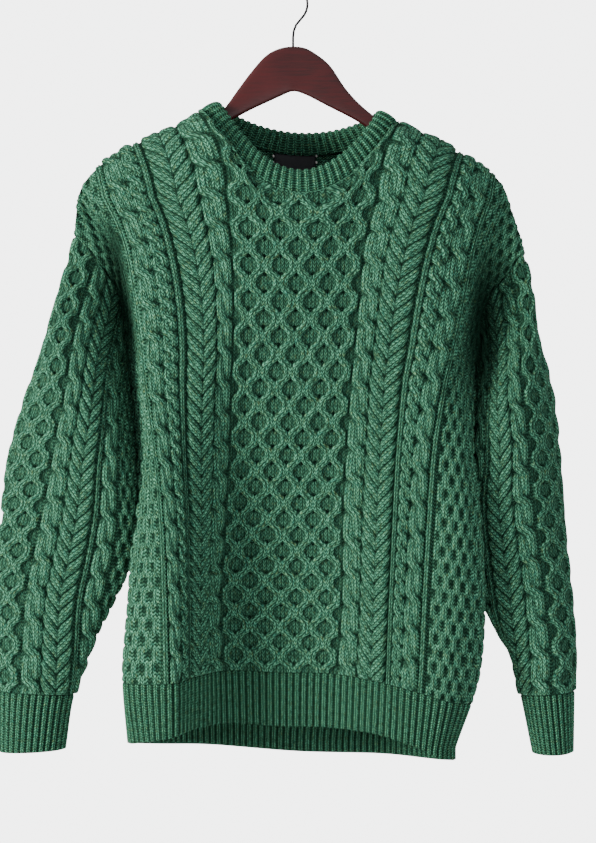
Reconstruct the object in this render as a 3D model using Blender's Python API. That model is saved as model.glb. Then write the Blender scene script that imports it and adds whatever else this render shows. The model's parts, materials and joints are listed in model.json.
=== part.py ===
"""Crewneck cable-knit sweater hanging on a wooden hanger.

The knitted pieces are walls: a front and a back that meet at the shoulder and side seams, two
drop-shoulder sleeves, a folded neckband, hem ribs, cuffs and a plain neck label. The front and
back are one flowing form, read wale by wale from short tables of how the cloth hangs. The hanger
is a bowed wooden bar with a wire hook, and the origin is the inner top of that hook.

Axes: +X to the wearer's left, +Y to the wearer's back, +Z up. Sizes below are millimetres.
"""
import math

import bpy
import numpy as np

MM = 0.001

# ---------------------------------------------------------------- driving sizes
WALL = 4.0              # heavy wool cable cloth
RIB_WALL = 4.0
SEAM_GAP = 0.4          # between pieces sewn edge to edge
NECK_GAP = 2.2          # under the neckband, where the walls meet at an angle
HALF_FRONT = 242.0      # half the flat width of the front, and of the back
NECK_HALF = 62.0        # half the cloth width between the neck points
ARMPIT_Z = -434.0       # level of the underarm

NECK_CENTRE_X = 12.0
NECK_TILT = -0.052      # the garment hangs a little lower at the wearer's left
NECK_STEPS = 12         # mesh columns across the neck, front and back alike
SHOULDER_STEPS = 9      # mesh columns along each shoulder
ARMHOLE_ROWS = 9        # mesh rows from the shoulder down to the underarm
BODY_ROWS = 10          # mesh rows from the underarm to the hem rib
RIB_ROWS = 2
SLEEVE_ROWS = 15
CUFF_ROWS = 2
ROLL = 46.0             # drop over which the cloth turns down from the shoulder ridge
EASE = 90.0             # drop over which a wale settles onto its hanging line

# The neckband's two edges. Reaches and drops are measured from the neck's sides.
# edge: half width, front reach, back reach, side level, front drop, back drop
NECK_BASE = dict(half=106.0, front=58.0, back=46.0, side=-142.5, front_drop=86.0, back_drop=33.0)
NECK_CREST = dict(half=86.0, front=51.0, back=40.0, side=-130.0, front_drop=73.0, back_drop=24.0)
NECKBAND_THICKNESS = 7.0
# The band's section from its outer foot over the crest to its inner foot:
# share of the height, stand from the middle as a share of the half thickness, added fullness
BAND_SECTION = (
    (0.0, 1.0, 0.0), (0.5, 1.0, 1.0), (0.85, 0.85, 0.0), (1.0, 0.0, 0.0),
    (0.85, -0.85, 0.0), (0.5, -1.0, -0.5), (0.0, -1.0, 0.0),
)

# Shoulder ridge: place across the cloth, then where the seam runs.
# across, x, z
RIDGE_RIGHT = (
    (-242, -229, -271),
    (-222, -227, -248),
    (-203, -225, -231),
    (-185, -219, -216),
    (-160, -202, -197),
    (-130, -173, -178),
    (-101, -138, -163),
    (-80, -115, -153),
)
RIDGE_LEFT = (
    (80, 139, -160),
    (101, 163, -171),
    (130, 194, -189),
    (160, 220, -205),
    (185, 234, -223),
    (203, 240, -242),
    (222, 247, -263),
    (242, 254, -286),
)

# How the front hangs: one row a level, and an (x, y) pair for each wale named on the first line.
WALES = (-242, -203, -160, -101, -62, 0, 62, 101, 160, 203, 242)
FRONT_HANG = (
    # level, side, moss, outer rib, plait, comb edge, centre, comb edge, plait, outer rib, moss, side
    (-232, (-246, -16), (-224, -10), (-187, -36), (-115, -50), (-63, -56), (16, -60),
     (94, -56), (142, -50), (210, -32), (238, -18), (262, -20)),
    (-286, (-206, -16), (-187, -20), (-169, -48), (-99, -56), (-58, -60), (11, -62),
     (80, -60), (125, -56), (196, -42), (220, -24), (254, -30)),
    (-340, (-182, 8), (-171, -2), (-159, -51), (-90, -58), (-56, -60), (9, -60),
     (75, -60), (114, -57), (185, -45), (203, 6), (220, 16)),
    (-394, (-174, 16), (-163, -8), (-152, -54), (-88, -57), (-57, -52), (7, -50),
     (70, -52), (107, -53), (174, -47), (191, -2), (208, 14)),
    (-434, (-169, 22), (-156, -31), (-148, -58), (-90, -55), (-59, -44), (3, -42),
     (66, -45), (102, -49), (165, -50), (192, -27), (203, 20)),
    (-495, (-167, 16), (-153, -36), (-139, -66), (-92, -52), (-61, -31), (0, -29),
     (62, -33), (99, -42), (155, -55), (190, -45), (198, -8)),
    (-575, (-168, 8), (-157, -44), (-131, -74), (-92, -51), (-66, -20), (-4, -18),
     (58, -23), (95, -36), (149, -58), (187, -58), (207, -28)),
    (-664, (-167, -10), (-166, -50), (-127, -79), (-94, -48), (-71, -14), (-7, -12),
     (57, -20), (92, -34), (144, -58), (182, -62), (210, -34)),
    (-745, (-172, -16), (-170, -56), (-125, -80), (-94, -46), (-68, -12), (-8, -10),
     (52, -18), (89, -33), (140, -54), (176, -58), (204, -32)),
    (-820, (-169, -15), (-162, -52), (-124, -74), (-95, -42), (-66, -8), (-8, 0),
     (50, -8), (86, -24), (135, -42), (162, -42), (180, -18)),
)
# How the back hangs, with two soft folds. Its side edges are the front's below the underarm.
BACK_WALES = (-242, -203, -120, 0, 120, 203, 242)
BACK_HANG = (
    # level, side, near side, right fold, centre, left fold, near side, side
    (-232, (-240, 2), (-224, 6), (-157, 40), (12, 50), (176, 42), (238, 8), (262, 2)),
    (-286, (-218, 24), (-196, 42), (-142, 52), (10, 58), (160, 52), (228, 34), (253, 14)),
    (-340, (-186, 42), (-168, 52), (-122, 58), (7, 60), (142, 58), (200, 54), (220, 50)),
    (-394, (-173, 30), (-151, 50), (-106, 60), (4, 58), (124, 60), (182, 54), (208, 44)),
    (-434, None, (-146, 48), (-98, 66), (3, 54), (112, 66), (172, 46), None),
    (-495, None, (-148, 48), (-94, 68), (6, 50), (112, 68), (172, 36), None),
    (-575, None, (-150, 40), (-94, 68), (10, 46), (120, 66), (182, 16), None),
    (-664, None, (-152, 24), (-96, 66), (15, 44), (128, 62), (194, 2), None),
    (-745, None, (-152, 22), (-94, 66), (16, 42), (124, 62), (188, 3), None),
    (-820, None, (-148, 18), (-92, 60), (12, 40), (112, 54), (166, 10), None),
)
# Where the hem rib starts and ends: across, rib seam level, hem edge level
FRONT_HEM = (
    (-242, -746, -815), (-203, -748, -811), (-160, -746, -803), (-101, -741, -796),
    (-62, -739, -795), (0, -741, -799), (62, -742, -800), (101, -747, -803),
    (160, -758, -816), (203, -768, -828), (242, -773, -833),
)
BACK_HEM = (
    (-242, -746, -815), (-203, -754, -820), (-120, -762, -826), (0, -768, -831),
    (120, -773, -836), (203, -774, -836), (242, -773, -833),
)

# Sleeves: a row a section. Outer and inner edge of the flattened tube, its half depth, how far
# forward or back it hangs, where its top line lies (90 is the outer edge, 0 faces front), and how
# far it has settled from the armhole's shape to a plain oval.
# outer x, outer z, inner x, inner z, half depth, y, top line, settled
SLEEVE_RIGHT = (
    (-236, -299, -172, -447, 52, 0, 72, 0.15),
    (-245, -327, -171, -470, 54, -6, 63, 0.40),
    (-256, -361, -167, -496, 52, -12, 54, 0.60),
    (-267, -405, -165, -524, 44, -16, 51, 0.85),
    (-283, -456, -164, -553, 34, -18, 51, 1.0),
    (-300, -523, -166, -590, 25, -22, 51, 1.0),
    (-309, -590, -168, -627, 20, -16, 60, 1.0),
    (-314, -652, -187, -665, 22, -12, 70, 1.0),
    (-314, -706, -209, -709, 24, -10, 74, 1.0),
    (-312, -760, -230, -764, 25, -10, 79, 1.0),
    (-310, -825, -239, -822, 24, -10, 85, 1.0),
)
SLEEVE_LEFT = (
    (259, -309, 205, -450, 54, 4, 96, 0.15),
    (264, -333, 204, -466, 58, 8, 74, 0.35),
    (269, -359, 202, -483, 60, 12, 52, 0.60),
    (277, -396, 200, -503, 60, 14, 46, 0.85),
    (288, -450, 198, -532, 56, 18, 49, 1.0),
    (296, -524, 197, -569, 50, 20, 52, 1.0),
    (301, -591, 201, -617, 42, 20, 60, 1.0),
    (307, -654, 212, -665, 36, 15, 65, 1.0),
    (311, -713, 241, -719, 34, 10, 64, 1.0),
    (310, -762, 253, -766, 32, 8, 65, 1.0),
    (309, -827, 266, -829, 30, 8, 68, 1.0),
)
CUFF_ROW = 10           # the section, counted from the armhole, where the cuff is sewn on
CUFF_SEAM = (CUFF_ROW - 0.006, CUFF_ROW + 0.003)    # where the sleeve ends and the cuff starts
SLEEVE_START = (1.8, 0.0, -0.9)     # from an armhole's edge outwards to its sleeve's
SHOULDER_SEAM = 0.001               # the place down a wale where both panels start
RIB_SEAM = (1.999, 2.004)           # the places where a panel ends and its hem rib starts

LABEL_WIDTH = 46.0
LABEL_CENTRE_X = 8.0
LABEL_HEIGHT = 52.0
LABEL_THICKNESS = 0.8
LABEL_STANDOFF = 1.2
LABEL_DROP = 2.0        # below the top of the back
LABEL_STEPS = 4         # mesh faces each way
BACK_WALE_TO_ARMPIT = 262.0

HANGER_THICKNESS = 12.0
HANGER_BOW = 14.0       # the arms bend forward this far at their ends
HANGER_REACH = 210.0
HANGER_CENTRE_X = 6.0
HANGER_SECTION_SIDES = 10
HANGER_TOP_Z = -66.0    # top of the bar at the hook
HANGER_FLAT = 0.45      # how square the bar's section is across, 1 for round
HANGER_TALL = 0.7       # the same up and down
# x, top, underside
HANGER_BAR = (
    (-202, -214, -221), (-192, -206, -218), (-152, -180, -199), (-116, -164, -185),
    (-92, -154, -174), (-78, -144, -164), (-66, -131, -154), (-54, -114, -142),
    (-40, -95, -131), (-22, -75, -120), (-8, -68, -114), (6, HANGER_TOP_Z, -112), (20, -68, -114),
    (32, -75, -119), (46, -87, -128), (62, -111, -139), (78, -129, -150), (92, -141, -160),
    (106, -152, -170), (134, -170, -189), (166, -185, -204), (190, -199, -216),
    (206, -211, -224), (214, -220, -226),
)
WIRE = 2.6
HOOK_RADIUS = 21.5      # to the middle of the wire
HOOK_SUNK = 9.0         # how deep the wire goes into the bar
HOOK_BORE = 13.0        # depth of its hole
HOOK_SWAY = ((0.0, -56.0), (0.8, -49.0), (3.4, -42.5), (8.4, -36.5))    # x from the stem, z
HOOK_TURN = (-35, 157, 12)          # degrees round the crook: from, to and step
BORE_CLEARANCE = 0.3

COLOURS = {
    "wool": (0.060, 0.170, 0.105, 1.0),
    "label": (0.012, 0.012, 0.014, 1.0),
    "wood": (0.085, 0.018, 0.018, 1.0),
    "steel": (0.015, 0.015, 0.016, 1.0),
}


# ---------------------------------------------------------------- curves and tables
def through(knots, rows, at, onward=None):
    """A smooth curve through rows of values at rising knots. Knot onward leans only on what follows."""
    knots = np.asarray(knots, float)
    rows = np.asarray(rows, float)
    at = np.asarray(at, float)
    gaps = np.diff(knots)
    shape = (-1,) + (1,) * (rows.ndim - 1)
    rises = np.diff(rows, axis=0) / gaps.reshape(shape)
    slopes = np.empty_like(rows)
    slopes[0], slopes[-1] = rises[0], rises[-1]
    before, after = gaps[:-1].reshape(shape), gaps[1:].reshape(shape)
    slopes[1:-1] = (rises[:-1] * after + rises[1:] * before) / (before + after)
    if onward is not None:
        slopes[onward] = rises[onward]
    span = np.clip(np.searchsorted(knots, at, side="right") - 1, 0, len(gaps) - 1)
    t = (np.clip(at, knots[0], knots[-1]) - knots[span]) / gaps[span]
    t = t.reshape(t.shape + (1,) * (rows.ndim - 1))
    width = gaps[span].reshape(t.shape)
    start, end = rows[span], rows[span + 1]
    lift, fall = slopes[span] * width, slopes[span + 1] * width
    return ((2 * t**3 - 3 * t**2 + 1) * start + (t**3 - 2 * t**2 + t) * lift
            + (3 * t**2 - 2 * t**3) * end + (t**3 - t**2) * fall)


def bow(x):
    """How far forward the hanger's arms, and the shoulders on them, have bent at x."""
    return -HANGER_BOW * min(1.0, abs(x - HANGER_CENTRE_X) / HANGER_REACH) ** 1.2


def neck_point(edge, angle):
    """A point on the neckband's base or crest. Angle 0 is the front, 90 the wearer's left."""
    sine, cosine = math.sin(math.radians(angle)), math.cos(math.radians(angle))
    x = NECK_CENTRE_X + edge["half"] * sine
    if cosine >= 0.0:
        reach, drop, power = -edge["front"], edge["front_drop"], 1.7 + 0.2 * sine
    else:
        reach, drop, power = edge["back"], edge["back_drop"], 1.7
    y = reach * abs(cosine) + bow(x) * abs(sine)
    z = edge["side"] - drop * abs(cosine) ** power + NECK_TILT * (x - NECK_CENTRE_X)
    return np.array((x, y, z))


def hang_table(front):
    """The hanging levels of one panel: wale places, levels and an array of (x, y)."""
    front_grid = np.array([row[1:] for row in FRONT_HANG], float)
    back_rows = []
    for row, front_row in zip(BACK_HANG, FRONT_HANG):
        pairs = list(row[1:])
        pairs[0] = pairs[0] or front_row[1]
        pairs[-1] = pairs[-1] or front_row[-1]
        back_rows.append(pairs)
    back_grid = np.array(back_rows, float)
    levels = np.array([row[0] for row in FRONT_HANG], float)
    own, other = (front_grid, back_grid) if front else (back_grid, front_grid)
    wales = WALES if front else BACK_WALES
    reach = WALES[1] - WALES[0]
    ghosts = []
    for edge, inward in ((0, 1), (-1, -2)):
        carried_on = 2.0 * own[:, edge] - own[:, inward]
        joined = (levels <= ARMPIT_Z)[:, None]
        ghosts.append(np.where(joined, other[:, inward], carried_on))
    grid = np.concatenate((ghosts[0][:, None], own, ghosts[1][:, None]), axis=1)
    places = (wales[0] - reach,) + tuple(wales) + (wales[-1] + reach,)
    return places, levels, grid


def panel_top(across, front):
    """Where a wale ends at the top: on the shoulder ridge or on the neckline."""
    if abs(across) < NECK_HALF:
        angle = 90.0 * across / NECK_HALF
        angle = angle if front else 180.0 - angle
        base, crest = neck_point(NECK_BASE, angle), neck_point(NECK_CREST, angle)
        away = (base - crest) / np.linalg.norm(base - crest)
        return base + away * NECK_GAP
    side = math.copysign(1.0, across)
    neck = neck_point(NECK_BASE, 90.0 * side)
    if side < 0:
        rows = RIDGE_RIGHT + ((-NECK_HALF, neck[0] - NECK_GAP, neck[2] - NECK_GAP),)
    else:
        rows = ((NECK_HALF, neck[0] + NECK_GAP, neck[2] - NECK_GAP),) + RIDGE_LEFT
    places = [row[0] for row in rows]
    x, z = through(places, [row[1:] for row in rows], across)
    return np.array((x, bow(x), z))


def wale(across, front, places):
    """Points down one wale. Place 0 is its top, 1 the underarm, 2 the rib seam, 3 the hem."""
    wales, levels, grid = hang_table(front)
    hang = through(wales, grid.transpose(1, 0, 2), across)
    hem = FRONT_HEM if front else BACK_HEM
    rib_z, hem_z = through([row[0] for row in hem], [row[1:] for row in hem], across)
    top = panel_top(across, front)
    drop = (top[2] - hem_z) * np.linspace(0.0, 1.0, 401) ** 2
    z = top[2] - drop
    x, y = through(-levels, hang, -z, onward=int(np.argmax(levels == ARMPIT_Z))).T
    settle = 1.0 - np.clip(drop / EASE, 0.0, 1.0)
    x = x + (top[0] - x[0]) * settle**2
    roll = np.sqrt(1.0 - (1.0 - np.clip(drop / ROLL, 0.0, 1.0)) ** 2)
    y = top[1] + (y - top[1]) * roll
    line = np.stack((x, y, z), axis=1)
    length = np.concatenate(((0.0,), np.cumsum(np.linalg.norm(np.diff(line, axis=0), axis=1))))
    marks = np.interp((-top[2], -ARMPIT_Z, -rib_z, -hem_z), -z, length)
    wanted = np.interp(places, (0.0, 1.0, 2.0, 3.0), marks)
    return np.stack([np.interp(wanted, length, line[:, axis]) for axis in range(3)], axis=1)


def panel_grid(front, across, places):
    """A grid of points on the cloth, a row for each place across."""
    return np.array([wale(u, front, places) for u in across])


def panel_walls(front, across, places, thickness):
    """Outer and inner grids of a panel, offset square to the cloth."""
    step_u, step_v = 0.1, 0.01
    outer = panel_grid(front, across, places)
    along = panel_grid(front, across + step_u, places) - panel_grid(front, across - step_u, places)
    down = (panel_grid(front, across, np.minimum(places + step_v, 3.0))
            - panel_grid(front, across, np.maximum(places - step_v, 0.0)))
    ridge = np.outer(np.abs(across) >= NECK_HALF, places < step_v)
    down[ridge] = (0.0, -1.0 if front else 1.0, 0.0)
    inward = np.cross(along, down)
    inward /= np.linalg.norm(inward, axis=2, keepdims=True)
    if not front:
        inward = -inward
    return outer, outer + inward * thickness


# ---------------------------------------------------------------- sleeves
def oval(half_long, half_deep, start, shares):
    """Points round an oval, at shares of its length from the top line. Long axis runs outer to inner."""
    turn = np.radians(np.linspace(start, start - 360.0, 721))
    ring = np.stack((-half_long * np.sin(turn), -half_deep * np.cos(turn)), axis=1)
    length = np.concatenate(((0.0,), np.cumsum(np.linalg.norm(np.diff(ring, axis=0), axis=1))))
    wanted = np.asarray(shares) * length[-1]
    return np.stack([np.interp(wanted, length, ring[:, axis]) for axis in range(2)], axis=1)


def sleeve_frame(outer, inner):
    """The middle of a section and the unit directions along it and across it, in X and Z."""
    middle = (outer + inner) / 2.0
    along = (inner - outer) / np.linalg.norm(inner - outer)
    return middle, along, np.array((along[1], -along[0]))


def sleeve_rings(armhole, rows):
    """Rings down a sleeve, from the armhole's loop to the cuff's edge, on one order of points."""
    count = len(armhole)
    steps = np.linalg.norm(np.roll(armhole, -1, axis=0) - armhole, axis=1)
    shares = np.concatenate(((0.0,), np.cumsum(steps)))[:-1] / steps.sum()
    top, under = armhole[0][[0, 2]], armhole[count // 2][[0, 2]]
    middle, along, across = sleeve_frame(top, under)
    flat = armhole[:, [0, 2]] - middle
    half = np.linalg.norm(under - top) / 2.0
    own = np.stack((flat @ along / half, flat @ across / half, armhole[:, 1]), axis=1)
    rings = [armhole]
    for x_out, z_out, x_in, z_in, depth, y, top_line, settled in rows:
        outer, inner = np.array((x_out, z_out), float), np.array((x_in, z_in), float)
        middle, along, across = sleeve_frame(outer, inner)
        half = np.linalg.norm(inner - outer) / 2.0
        plain = oval(half, depth, top_line, shares)
        long = own[:, 0] * half * (1.0 - settled) + plain[:, 0] * settled
        side = own[:, 1] * half * (1.0 - settled)
        deep = own[:, 2] * (1.0 - settled) + (plain[:, 1] + y) * settled
        flat = middle + long[:, None] * along + side[:, None] * across
        rings.append(np.stack((flat[:, 0], deep, flat[:, 1]), axis=1))
    return np.array(rings)


def sleeve_walls(rings, places, thickness):
    """Outer and inner grids of a tube through the rings. Place 0 is the armhole."""
    knots = np.arange(len(rings), dtype=float)
    outer = through(knots, rings, places).transpose(1, 0, 2)
    down = (through(knots, rings, np.minimum(places + 0.05, knots[-1]))
            - through(knots, rings, np.maximum(places - 0.05, 0.0))).transpose(1, 0, 2)
    around = np.roll(outer, -1, axis=0) - np.roll(outer, 1, axis=0)
    inward = np.cross(around, down)
    inward /= np.linalg.norm(inward, axis=2, keepdims=True)
    middle = outer.mean(axis=0, keepdims=True)
    if ((middle - outer) * inward).sum() < 0.0:
        inward = -inward
    return outer, outer + inward * thickness


# ---------------------------------------------------------------- meshes
def new_object(name, points, faces, colour, rough=0.9, metal=0.0):
    """A mesh object in metres, its faces turned outwards, with its own material."""
    mesh = bpy.data.meshes.new(name)
    mesh.from_pydata([tuple(MM * value for value in point) for point in points], [], faces)
    mesh.validate()
    if signed_volume(mesh) < 0.0:
        mesh.flip_normals()
    mesh.shade_smooth()
    mesh.set_sharp_from_angle(angle=math.radians(50.0))
    material = bpy.data.materials.new(name)
    material.use_nodes = True
    shader = material.node_tree.nodes["Principled BSDF"]
    shader.inputs["Base Color"].default_value = COLOURS[colour]
    shader.inputs["Roughness"].default_value = rough
    shader.inputs["Metallic"].default_value = metal
    mesh.materials.append(material)
    piece = bpy.data.objects.new(name, mesh)
    bpy.context.scene.collection.objects.link(piece)
    return piece


def signed_volume(mesh):
    """Volume enclosed by the mesh, positive when its faces point out."""
    mesh.calc_loop_triangles()
    total = 0.0
    for triangle in mesh.loop_triangles:
        a, b, c = (mesh.vertices[index].co for index in triangle.vertices)
        total += a.dot(b.cross(c))
    return total / 6.0


def rim(near, far, shift, inwards, swap=False):
    """Two triangles across a wall's edge. Walls that meet split alike: near outer to far inner."""
    a, b, c, d = near, far, shift + far, shift + near
    halves = [(a, b, d), (b, c, d)] if swap else [(a, b, c), (a, c, d)]
    return halves if inwards else [half[::-1] for half in halves]


def wall_object(name, outer, inner, closed, colour="wool"):
    """A closed wall between an outer and an inner grid of the same size."""
    columns, rows = outer.shape[:2]
    points = np.concatenate((outer.reshape(-1, 3), inner.reshape(-1, 3)))
    shift = columns * rows
    faces = []
    for column in range(columns if closed else columns - 1):
        following = (column + 1) % columns
        upward = closed and column >= columns // 2
        for row in range(rows - 1):
            a, b = column * rows + row, following * rows + row
            faces.append((a, b, b + 1, a + 1))
            faces.append((shift + a + 1, shift + b + 1, shift + b, shift + a))
        first, last = column * rows, column * rows + rows - 1
        faces += rim(first, following * rows, shift, False, upward)
        faces += rim(last, following * rows + rows - 1, shift, True, upward)
    if not closed:
        for row in range(rows - 1):
            faces += rim(row, row + 1, shift, True)
            edge = (columns - 1) * rows + row
            faces += rim(edge, edge + 1, shift, False)
    return new_object(name, points, faces, colour)


def tube_faces(rings, sides, closed):
    """Quads between rings of points, with flat ends where the tube is open."""
    faces = []
    for ring in range(rings if closed else rings - 1):
        following = (ring + 1) % rings
        for side in range(sides):
            turn = (side + 1) % sides
            faces.append((ring * sides + side, ring * sides + turn,
                          following * sides + turn, following * sides + side))
    if not closed:
        faces.append(tuple(range(sides))[::-1])
        faces.append(tuple((rings - 1) * sides + side for side in range(sides)))
    return faces


# ---------------------------------------------------------------- the garment
def across_places():
    """Mesh columns across a panel, with one on each neck point."""
    edge = HALF_FRONT - SEAM_GAP / 2.0
    shoulder = np.linspace(-edge, -NECK_HALF, SHOULDER_STEPS + 1)
    neck = np.linspace(-NECK_HALF, NECK_HALF, NECK_STEPS + 1)
    return np.concatenate((shoulder[:-1], neck, -shoulder[::-1][1:]))


def armhole_places():
    """Mesh rows from the shoulder to the underarm, closer where the cloth turns over the ridge."""
    return np.linspace(0.0, 1.0, ARMHOLE_ROWS + 1) ** 1.25


def body_places():
    """Mesh rows down a panel, a hair short of the shoulder seam and of the rib seam."""
    lower = np.linspace(1.0, RIB_SEAM[0], BODY_ROWS + 1)[1:]
    upper = armhole_places()
    upper[0] = SHOULDER_SEAM
    return np.concatenate((upper, lower))


def build_body():
    """Front and back with their hem ribs, and the armhole loops that the sleeves start from."""
    across = across_places()
    loops = {}
    for front in (True, False):
        face = "front" if front else "back"
        outer, inner = panel_walls(front, across, body_places(), WALL)
        wall_object(face, outer, inner, closed=False)
        rib_places = np.linspace(RIB_SEAM[1], 3.0, RIB_ROWS + 1)
        rib_outer, rib_inner = panel_walls(front, across, rib_places, RIB_WALL)
        wall_object("hem_rib_" + face, rib_outer, rib_inner, closed=False)
        armpit = ARMHOLE_ROWS + 1
        loops[face] = {-1: (outer[0, :armpit], inner[0, :armpit]),
                       1: (outer[-1, :armpit], inner[-1, :armpit])}
    return loops


def armhole_loop(loops, side, layer):
    """One loop round an armhole: from the shoulder down the front edge and back up behind."""
    front, back = loops["front"][side][layer], loops["back"][side][layer]
    return np.concatenate((front, back[1:-1][::-1]))


def build_sleeves(loops):
    """Both sleeves with their cuffs. Each starts on its armhole's edge, a seam gap away."""
    for name, side, rows in (("right", -1, SLEEVE_RIGHT), ("left", 1, SLEEVE_LEFT)):
        outer_loop = armhole_loop(loops, side, 0)
        inner_loop = armhole_loop(loops, side, 1)
        away = np.array(SLEEVE_START) * (side, 1.0, 1.0)
        rings = sleeve_rings(outer_loop + away, rows)
        top = np.linspace(0.0, CUFF_SEAM[0], SLEEVE_ROWS + 1)
        outer, inner = sleeve_walls(rings, top, WALL)
        inner[:, 0] = inner_loop + away
        wall_object("sleeve_" + name, outer, inner, closed=True)
        cuff = np.linspace(CUFF_SEAM[1], CUFF_ROW + 1.0, CUFF_ROWS + 1)
        outer, inner = sleeve_walls(rings, cuff, RIB_WALL)
        wall_object("cuff_" + name, outer, inner, closed=True)


def build_neckband():
    """The folded rib band that stands on the neckline, thick and rounded at its crest."""
    angles = np.arange(2 * NECK_STEPS) * 180.0 / NECK_STEPS - 90.0
    points = []
    for angle in angles:
        base, crest = neck_point(NECK_BASE, angle), neck_point(NECK_CREST, angle)
        up = crest - base
        height = np.linalg.norm(up)
        up /= height
        following = neck_point(NECK_BASE, angle + 1.0) - neck_point(NECK_BASE, angle - 1.0)
        out = np.cross(following, up)
        out /= np.linalg.norm(out)
        if out @ (base - np.array((NECK_CENTRE_X, 0.0, base[2]))) < 0.0:
            out = -out
        half = NECKBAND_THICKNESS / 2.0
        for share, stand, fullness in BAND_SECTION:
            points.append(base + up * height * share + out * (half * (stand - 1.0) + fullness))
    sides = len(points) // len(angles)
    return new_object("neckband", points, tube_faces(len(angles), sides, True), "wool")


def build_label():
    """The bare woven label, which hangs square from the neck seam just inside the back."""
    across = np.linspace(-LABEL_WIDTH, LABEL_WIDTH, 41)
    places = np.linspace(LABEL_DROP, LABEL_DROP + LABEL_HEIGHT, LABEL_STEPS + 1)
    places /= BACK_WALE_TO_ARMPIT
    outer, inner = panel_walls(False, across, places, 1.0)
    inward = inner - outer
    wanted = LABEL_CENTRE_X + np.linspace(-LABEL_WIDTH, LABEL_WIDTH, LABEL_STEPS + 1) / 2.0
    faces = []
    for depth in (WALL + LABEL_STANDOFF, WALL + LABEL_STANDOFF + LABEL_THICKNESS):
        layer = outer + inward * depth
        columns = [np.stack((wanted, np.interp(wanted, row[:, 0], row[:, 1]),
                             np.interp(wanted, row[:, 0], row[:, 2])), axis=1)
                   for row in layer.transpose(1, 0, 2)]
        faces.append(np.array(columns).transpose(1, 0, 2))
    return wall_object("neck_label", faces[0], faces[1], closed=False, colour="label")


# ---------------------------------------------------------------- the hanger
def build_hanger_bar():
    """The bowed wooden bar, its long edges rounded, bored for the hook."""
    places = np.array([row[0] for row in HANGER_BAR], float)
    edges = np.array([row[1:] for row in HANGER_BAR], float)
    turns = np.radians(np.arange(HANGER_SECTION_SIDES) * 360.0 / HANGER_SECTION_SIDES + 18.0)
    points = []
    for x, (top, under) in zip(places, edges):
        middle, half = (top + under) / 2.0, (top - under) / 2.0
        for turn in turns:
            flat = np.sign(math.cos(turn)) * abs(math.cos(turn)) ** HANGER_FLAT
            tall = np.sign(math.sin(turn)) * abs(math.sin(turn)) ** HANGER_TALL
            points.append((x, bow(x) + HANGER_THICKNESS / 2.0 * flat, middle + half * tall))
    faces = tube_faces(len(places), HANGER_SECTION_SIDES, False)
    bar = new_object("hanger_bar", points, faces, "wood", rough=0.35)
    bpy.ops.mesh.primitive_cylinder_add(
        vertices=16, radius=(WIRE / 2.0 + BORE_CLEARANCE) * MM, depth=2.0 * HOOK_BORE * MM,
        location=(HANGER_CENTRE_X * MM, 0.0, HANGER_TOP_Z * MM))
    cutter = bpy.context.object
    cutter.name = "hook_bore_cutter"
    cutter.hide_render = True
    cutter.display_type = "WIRE"
    bore = bar.modifiers.new("hook bore", "BOOLEAN")
    bore.operation = "DIFFERENCE"
    bore.solver = "EXACT"
    bore.object = cutter
    return bar


def build_hook():
    """The wire hook: a stem out of the bar, a sway to the side and a round crook."""
    centre_z = WIRE / 2.0 - HOOK_RADIUS
    route = [(HANGER_CENTRE_X, HANGER_TOP_Z - HOOK_SUNK)]
    route += [(HANGER_CENTRE_X + sway, level) for sway, level in HOOK_SWAY]
    for angle in range(HOOK_TURN[0], HOOK_TURN[1] + 1, HOOK_TURN[2]):
        turn = math.radians(angle)
        route.append((HOOK_RADIUS * math.cos(turn), centre_z + HOOK_RADIUS * math.sin(turn)))
    curve = bpy.data.curves.new("hanger_hook", "CURVE")
    curve.dimensions = "3D"
    curve.bevel_depth = WIRE / 2.0 * MM
    curve.bevel_resolution = 2
    curve.use_fill_caps = True
    spline = curve.splines.new("POLY")
    spline.points.add(len(route) - 1)
    for point, (x, z) in zip(spline.points, route):
        point.co = (x * MM, 0.0, z * MM, 1.0)
    material = bpy.data.materials.new("hanger_hook")
    material.use_nodes = True
    shader = material.node_tree.nodes["Principled BSDF"]
    shader.inputs["Base Color"].default_value = COLOURS["steel"]
    shader.inputs["Roughness"].default_value = 0.4
    shader.inputs["Metallic"].default_value = 1.0
    curve.materials.append(material)
    hook = bpy.data.objects.new("hanger_hook", curve)
    bpy.context.scene.collection.objects.link(hook)
    return hook


def main():
    """Clear the scene and build every piece."""
    for old in list(bpy.data.objects):
        bpy.data.objects.remove(old, do_unlink=True)
    loops = build_body()
    build_sleeves(loops)
    build_neckband()
    build_label()
    build_hanger_bar()
    build_hook()


main()
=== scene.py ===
"""Looks of a cable-knit crewneck sweater hanging on a wooden hanger.

The knitted pieces are closed shells on the frame's own form. Their cables, honeycomb, moss and
purl gutters are raised from a knitter's chart, course by course, and each face carries the place
of its loops along the strand it belongs to, so the wool's stitches and flecks run with the
cables. Axes: +X to the wearer's left, +Y to the wearer's back, +Z up. Sizes are millimetres.
"""

import json
import logging
import math
from dataclasses import dataclass
from enum import Enum

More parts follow.
